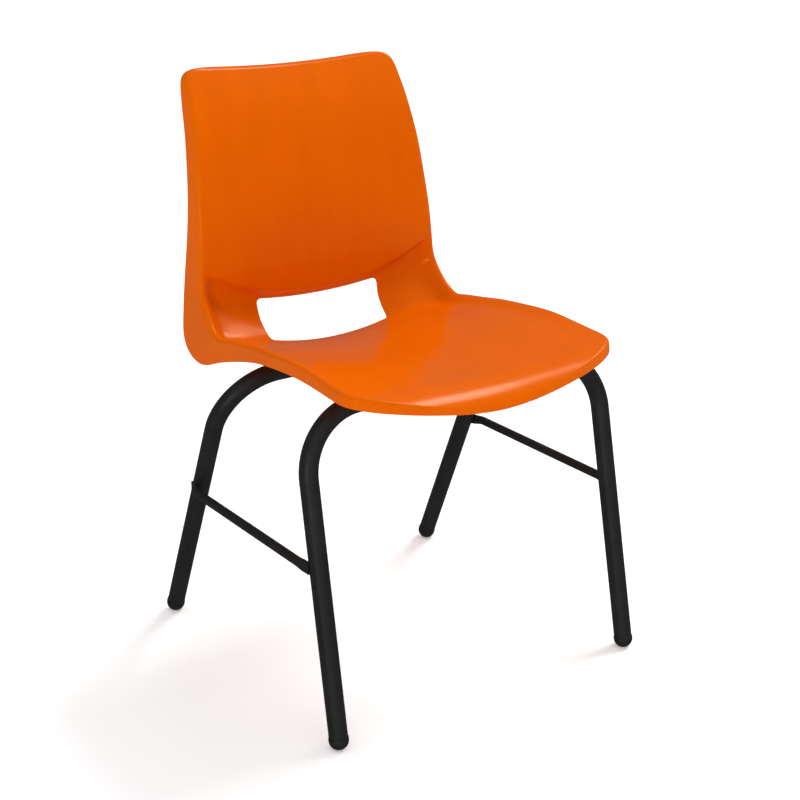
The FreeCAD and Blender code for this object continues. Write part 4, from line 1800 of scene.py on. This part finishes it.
@dataclass
class Welds:
    """The beads where stretchers, rails and plates meet the leg frames, in millimetres."""

    finishes: Finishes
    recipe: NodeRecipe
    front: LegFrame
    rear: LegFrame
    bars: tuple[Stretcher, Stretcher]
    rails: tuple[SeatRail, SeatRail]
    plates: tuple[MountingPlate, ...]
    bead: float = 1.3
    pitch: float = 1.2
    steps: int = 20
    ring_steps: int = 48
    rear_run: tuple[float, float] = (-6.0, 1.5)
    plate_run: float = 24.0
    plate_offset: float = 6.5
    plate_drop: float = 1.1

    def bar_paths(self, bar: Stretcher) -> list[list[Vector]]:
        """The beads of one stretcher: behind its front end, and above and below its rear end."""
        side = bar.side.value
        leg = self.front.tube / 2
        front = self.front.axis_at(bar.height)
        rear = self.rear.axis_at(bar.height)
        slope_front = math.tan(math.radians(self.front.lean))
        x = bar.x - bar.front_thick / 2
        offset = x - front.x
        behind = []
        for i in range(self.steps + 1):
            z = -bar.tall / 2 + bar.tall * i / self.steps
            y = front.y + slope_front * z + math.sqrt(max(leg**2 - offset**2, 0.0))
            behind.append(Vector((side * x, y, bar.height + z)))
        made = [behind]
        slope_rear = math.tan(math.radians(self.rear.lean))
        x = rear.x + leg - 0.2
        begin, end = self.rear_run
        for up in (-1, 1):
            z = up * bar.tall / 2
            y = rear.y + slope_rear * z + begin
            run = (end - begin) / 8
            made.append([Vector((side * x, y + run * i, bar.height + z)) for i in range(9)])
        return made

    def rail_paths(self, rail: SeatRail) -> list[list[Vector]]:
        """The beads round both ends of one rail."""
        made = []
        begin, end = self.front.cross_centre(), self.rear.cross_centre()
        along = (end - begin).normalized()
        lift = Vector((1, 0, 0)).cross(along)
        big, small = self.front.tube / 2, rail.dia / 2
        for centre, way in ((begin, along), (end, -along)):
            ring = []
            for i in range(self.ring_steps):
                angle = 2 * math.pi * i / self.ring_steps
                rise = small * math.sin(angle)
                reach = math.sqrt(big * big - rise * rise)
                across = Vector((rail.x * rail.side.value + small * math.cos(angle), 0, 0))
                ring.append(centre + across + lift * rise + way * reach)
            made.append(ring)
        return made

    def plate_paths(self, plate: MountingPlate) -> list[list[Vector]]:
        """The beads along the cross tube, on both of its sides, under one plate."""
        leg = self.front if plate.end is End.FRONT else self.rear
        centre = leg.cross_centre()
        made = []
        for way in (-1, 1):
            y = centre.y + way * self.plate_offset
            z = plate.seat[2] - plate.thickness - self.plate_drop
            x0 = plate.seat[0] - self.plate_run / 2
            made.append([Vector((x0 + self.plate_run * i / 12, y, z)) for i in range(13)])
        return made

    def build(self) -> bpy.types.Object:
        """Makes and dresses every bead as one piece."""
        runs: list[tuple[list[Vector], bool, float]] = []
        for bar in self.bars:
            runs += [(path, False, self.bead) for path in self.bar_paths(bar)]
        for rail in self.rails:
            runs += [(path, True, self.bead * 1.1) for path in self.rail_paths(rail)]
        for plate in self.plates:
            runs += [(path, False, self.bead * 0.9) for path in self.plate_paths(plate)]
        parts = []
        for index, (path, closed, radius) in enumerate(runs):
            parts.append(
                self.recipe.run(
                    path_object(f"weld_path_{index}", [p * MM for p in path], closed),
                    f"weld_{index}",
                    Bead_Radius=radius * MM,
                    Ripple_Pitch=self.pitch * MM,
                    Seed=index,
                    Finish=self.finishes.frame,
                )
            )
        whole = joined("weld_beads", parts)
        whole.data.shade_smooth()
        return dress(whole, self.finishes.frame)


# ---------------------------------------------------------------- studio
@dataclass
class Studio:
    """The floor, the lights and the camera, in metres."""

    finishes: Finishes
    floor_size: float = 60.0
    camera_place: tuple[float, float, float] = (-1.2439, -1.8216, 1.1487)
    camera_yaw: float = -34.713
    camera_pitch: float = 19.713
    lens: float = 74.54
    sensor: float = 36.0
    low_sky: float = 0.12
    high_sky: float = 1.15
    mirrored_sky: float = 0.14
    sky_rise: tuple[float, float] = (0.15, 0.85)
    suns: tuple[tuple[str, tuple[float, float, float], float, float], ...] = (
        ("overhead_softbox", (0.66, 0.08, 0.75), 1.75, 22.0),
        ("front_fill", (-0.30, -0.86, 0.40), 0.56, 90.0),
        ("side_strip", (-0.80, -0.56, 0.10), 0.40, 6.0),
    )

    def floor(self) -> None:
        """Lays the floor."""
        half = self.floor_size / 2
        corners = [(-half, -half, 0), (half, -half, 0), (half, half, 0), (-half, half, 0)]
        floor = mesh_object("studio_floor", corners, [(0, 1, 2, 3)])
        floor.data.materials.append(self.finishes.floor)
        floor.visible_glossy = False

    def camera(self) -> None:
        """Sets the camera."""
        data = bpy.data.cameras.new("main_camera")
        data.sensor_width = self.sensor
        data.lens = self.lens
        data.clip_start = 0.05
        data.clip_end = 100.0
        camera = bpy.data.objects.new("main_camera", data)
        camera.location = self.camera_place
        tilt = math.radians(90 - self.camera_pitch)
        camera.rotation_euler = Euler((tilt, 0, math.radians(self.camera_yaw)), "XYZ")
        bpy.context.scene.collection.objects.link(camera)
        bpy.context.scene.camera = camera

    def sun(self, name: str, towards: tuple[float, float, float], strength: float, width: float) -> None:
        """Adds one even light.

        Args:
            name: The light's name.
            towards: The direction that the light comes from.
            strength: Its strength.
            width: Its angular width in degrees.
        """
        data = bpy.data.lights.new(name, "SUN")
        data.energy = strength
        data.angle = math.radians(width)
        light = bpy.data.objects.new(name, data)
        light.rotation_euler = Vector(towards).to_track_quat("Z", "Y").to_euler()
        bpy.context.scene.collection.objects.link(light)

    @staticmethod
    def world_node(tree: bpy.types.NodeTree, kind: str, values: dict[Any, Any]) -> bpy.types.Node:
        """Adds one node to the room's tree.

        Args:
            tree: The tree.
            kind: Blender's name for the node type.
            values: A value or a link for each socket.

        Returns:
            The node.
        """
        made = tree.nodes.new(kind)
        for name, value in values.items():
            if isinstance(value, bpy.types.NodeSocket):
                tree.links.new(value, made.inputs[name])
            else:
                made.inputs[name].default_value = value
        return made

    def sky(self) -> None:
        """Sets the light of the room: brighter overhead, white where the camera sees it."""
        world = bpy.data.worlds.new("studio_room")
        world.use_nodes = True
        tree = world.node_tree
        tree.nodes.clear()
        place = self.world_node(tree, "ShaderNodeTexCoord", {})
        split = self.world_node(tree, "ShaderNodeSeparateXYZ", {"Vector": place.outputs["Generated"]})
        low, high = self.sky_rise
        rise = self.world_node(
            tree,
            "ShaderNodeMapRange",
            {
                "Value": split.outputs["Z"],
                "From Min": low,
                "From Max": high,
                "To Min": self.low_sky,
                "To Max": self.high_sky,
            },
        )
        rise.interpolation_type = "SMOOTHSTEP"
        background = "ShaderNodeBackground"
        room = self.world_node(tree, background, {"Strength": rise.outputs["Result"]})
        mirrored = self.world_node(tree, background, {"Strength": self.mirrored_sky})
        backdrop = self.world_node(tree, background, {"Color": (1.0, 1.0, 1.0, 1.0), "Strength": 1.0})
        seen = self.world_node(tree, "ShaderNodeLightPath", {})
        lit = self.world_node(
            tree,
            "ShaderNodeMixShader",
            {0: seen.outputs["Is Glossy Ray"], 1: room.outputs[0], 2: mirrored.outputs[0]},
        )
        either = self.world_node(
            tree,
            "ShaderNodeMixShader",
            {0: seen.outputs["Is Camera Ray"], 1: lit.outputs[0], 2: backdrop.outputs[0]},
        )
        self.world_node(tree, "ShaderNodeOutputWorld", {"Surface": either.outputs[0]})
        bpy.context.scene.world = world

    def build(self) -> None:
        """Sets everything that isn't the chair."""
        self.floor()
        self.sky()
        for name, towards, strength, width in self.suns:
            self.sun(name, towards, strength, width)
        self.camera()
        bpy.context.scene.view_settings.view_transform = "Standard"


# ---------------------------------------------------------------- the chair
@dataclass
class Chair:
    """The whole chair, built in order."""

    finishes: Finishes
    mount_x: float = 112.0
    mount_front_y: float = -126.5
    mount_rear_y: float = 25.5
    plate_thickness: float = 3.0

    def legs(self) -> tuple[LegFrame, LegFrame]:
        """The two bent tubes."""
        tubes = tube_recipe()
        front = LegFrame(self.finishes, tubes, End.FRONT, 245.1, -240.7, 11.25, 0.63, 433.0)
        rear = LegFrame(self.finishes, tubes, End.REAR, 233.9, 233.7, -23.8, 0.11, 414.5)
        return front, rear

    def seats(self, front: LegFrame, rear: LegFrame) -> dict[tuple[End, Side], tuple[float, float, float]]:
        """The middle of each boss's lower face."""
        made = {}
        for end, leg, y in ((End.FRONT, front, self.mount_front_y), (End.REAR, rear, self.mount_rear_y)):
            top = leg.cross_centre().z + leg.tube / 2 + self.plate_thickness
            for side in Side:
                made[(end, side)] = (side.value * self.mount_x, y, top)
        return made

    def build(self) -> None:
        """Builds and dresses every piece."""
        finishes = self.finishes
        front, rear = self.legs()
        seats = self.seats(front, rear)
        places = tuple(seats.values())
        shell = SeatShell(finishes).build()
        ShellBosses(finishes, shell, places).build()
        front.build()
        rear.build()
        FootPlugs(finishes, (front, rear)).build()
        bars = tuple(Stretcher(finishes, front, rear, side) for side in Side)
        rails = tuple(SeatRail(finishes, front.recipe, front, rear, side) for side in Side)
        plates = tuple(MountingPlate(finishes, end, side, seat) for (end, side), seat in seats.items())
        for part in (*bars, *rails, *plates):
            part.build()
        Fixings(finishes, copies_recipe(), places).build()
        Welds(finishes, bead_recipe(), front, rear, bars, rails, plates).build()


def main() -> None:
    """Builds the chair and its studio."""
    logging.basicConfig(level=logging.INFO, format="%(name)s %(message)s")
    finishes = Finishes()
    Studio(finishes).build()
    Chair(finishes).build()


if __name__ == "__main__":
    main()
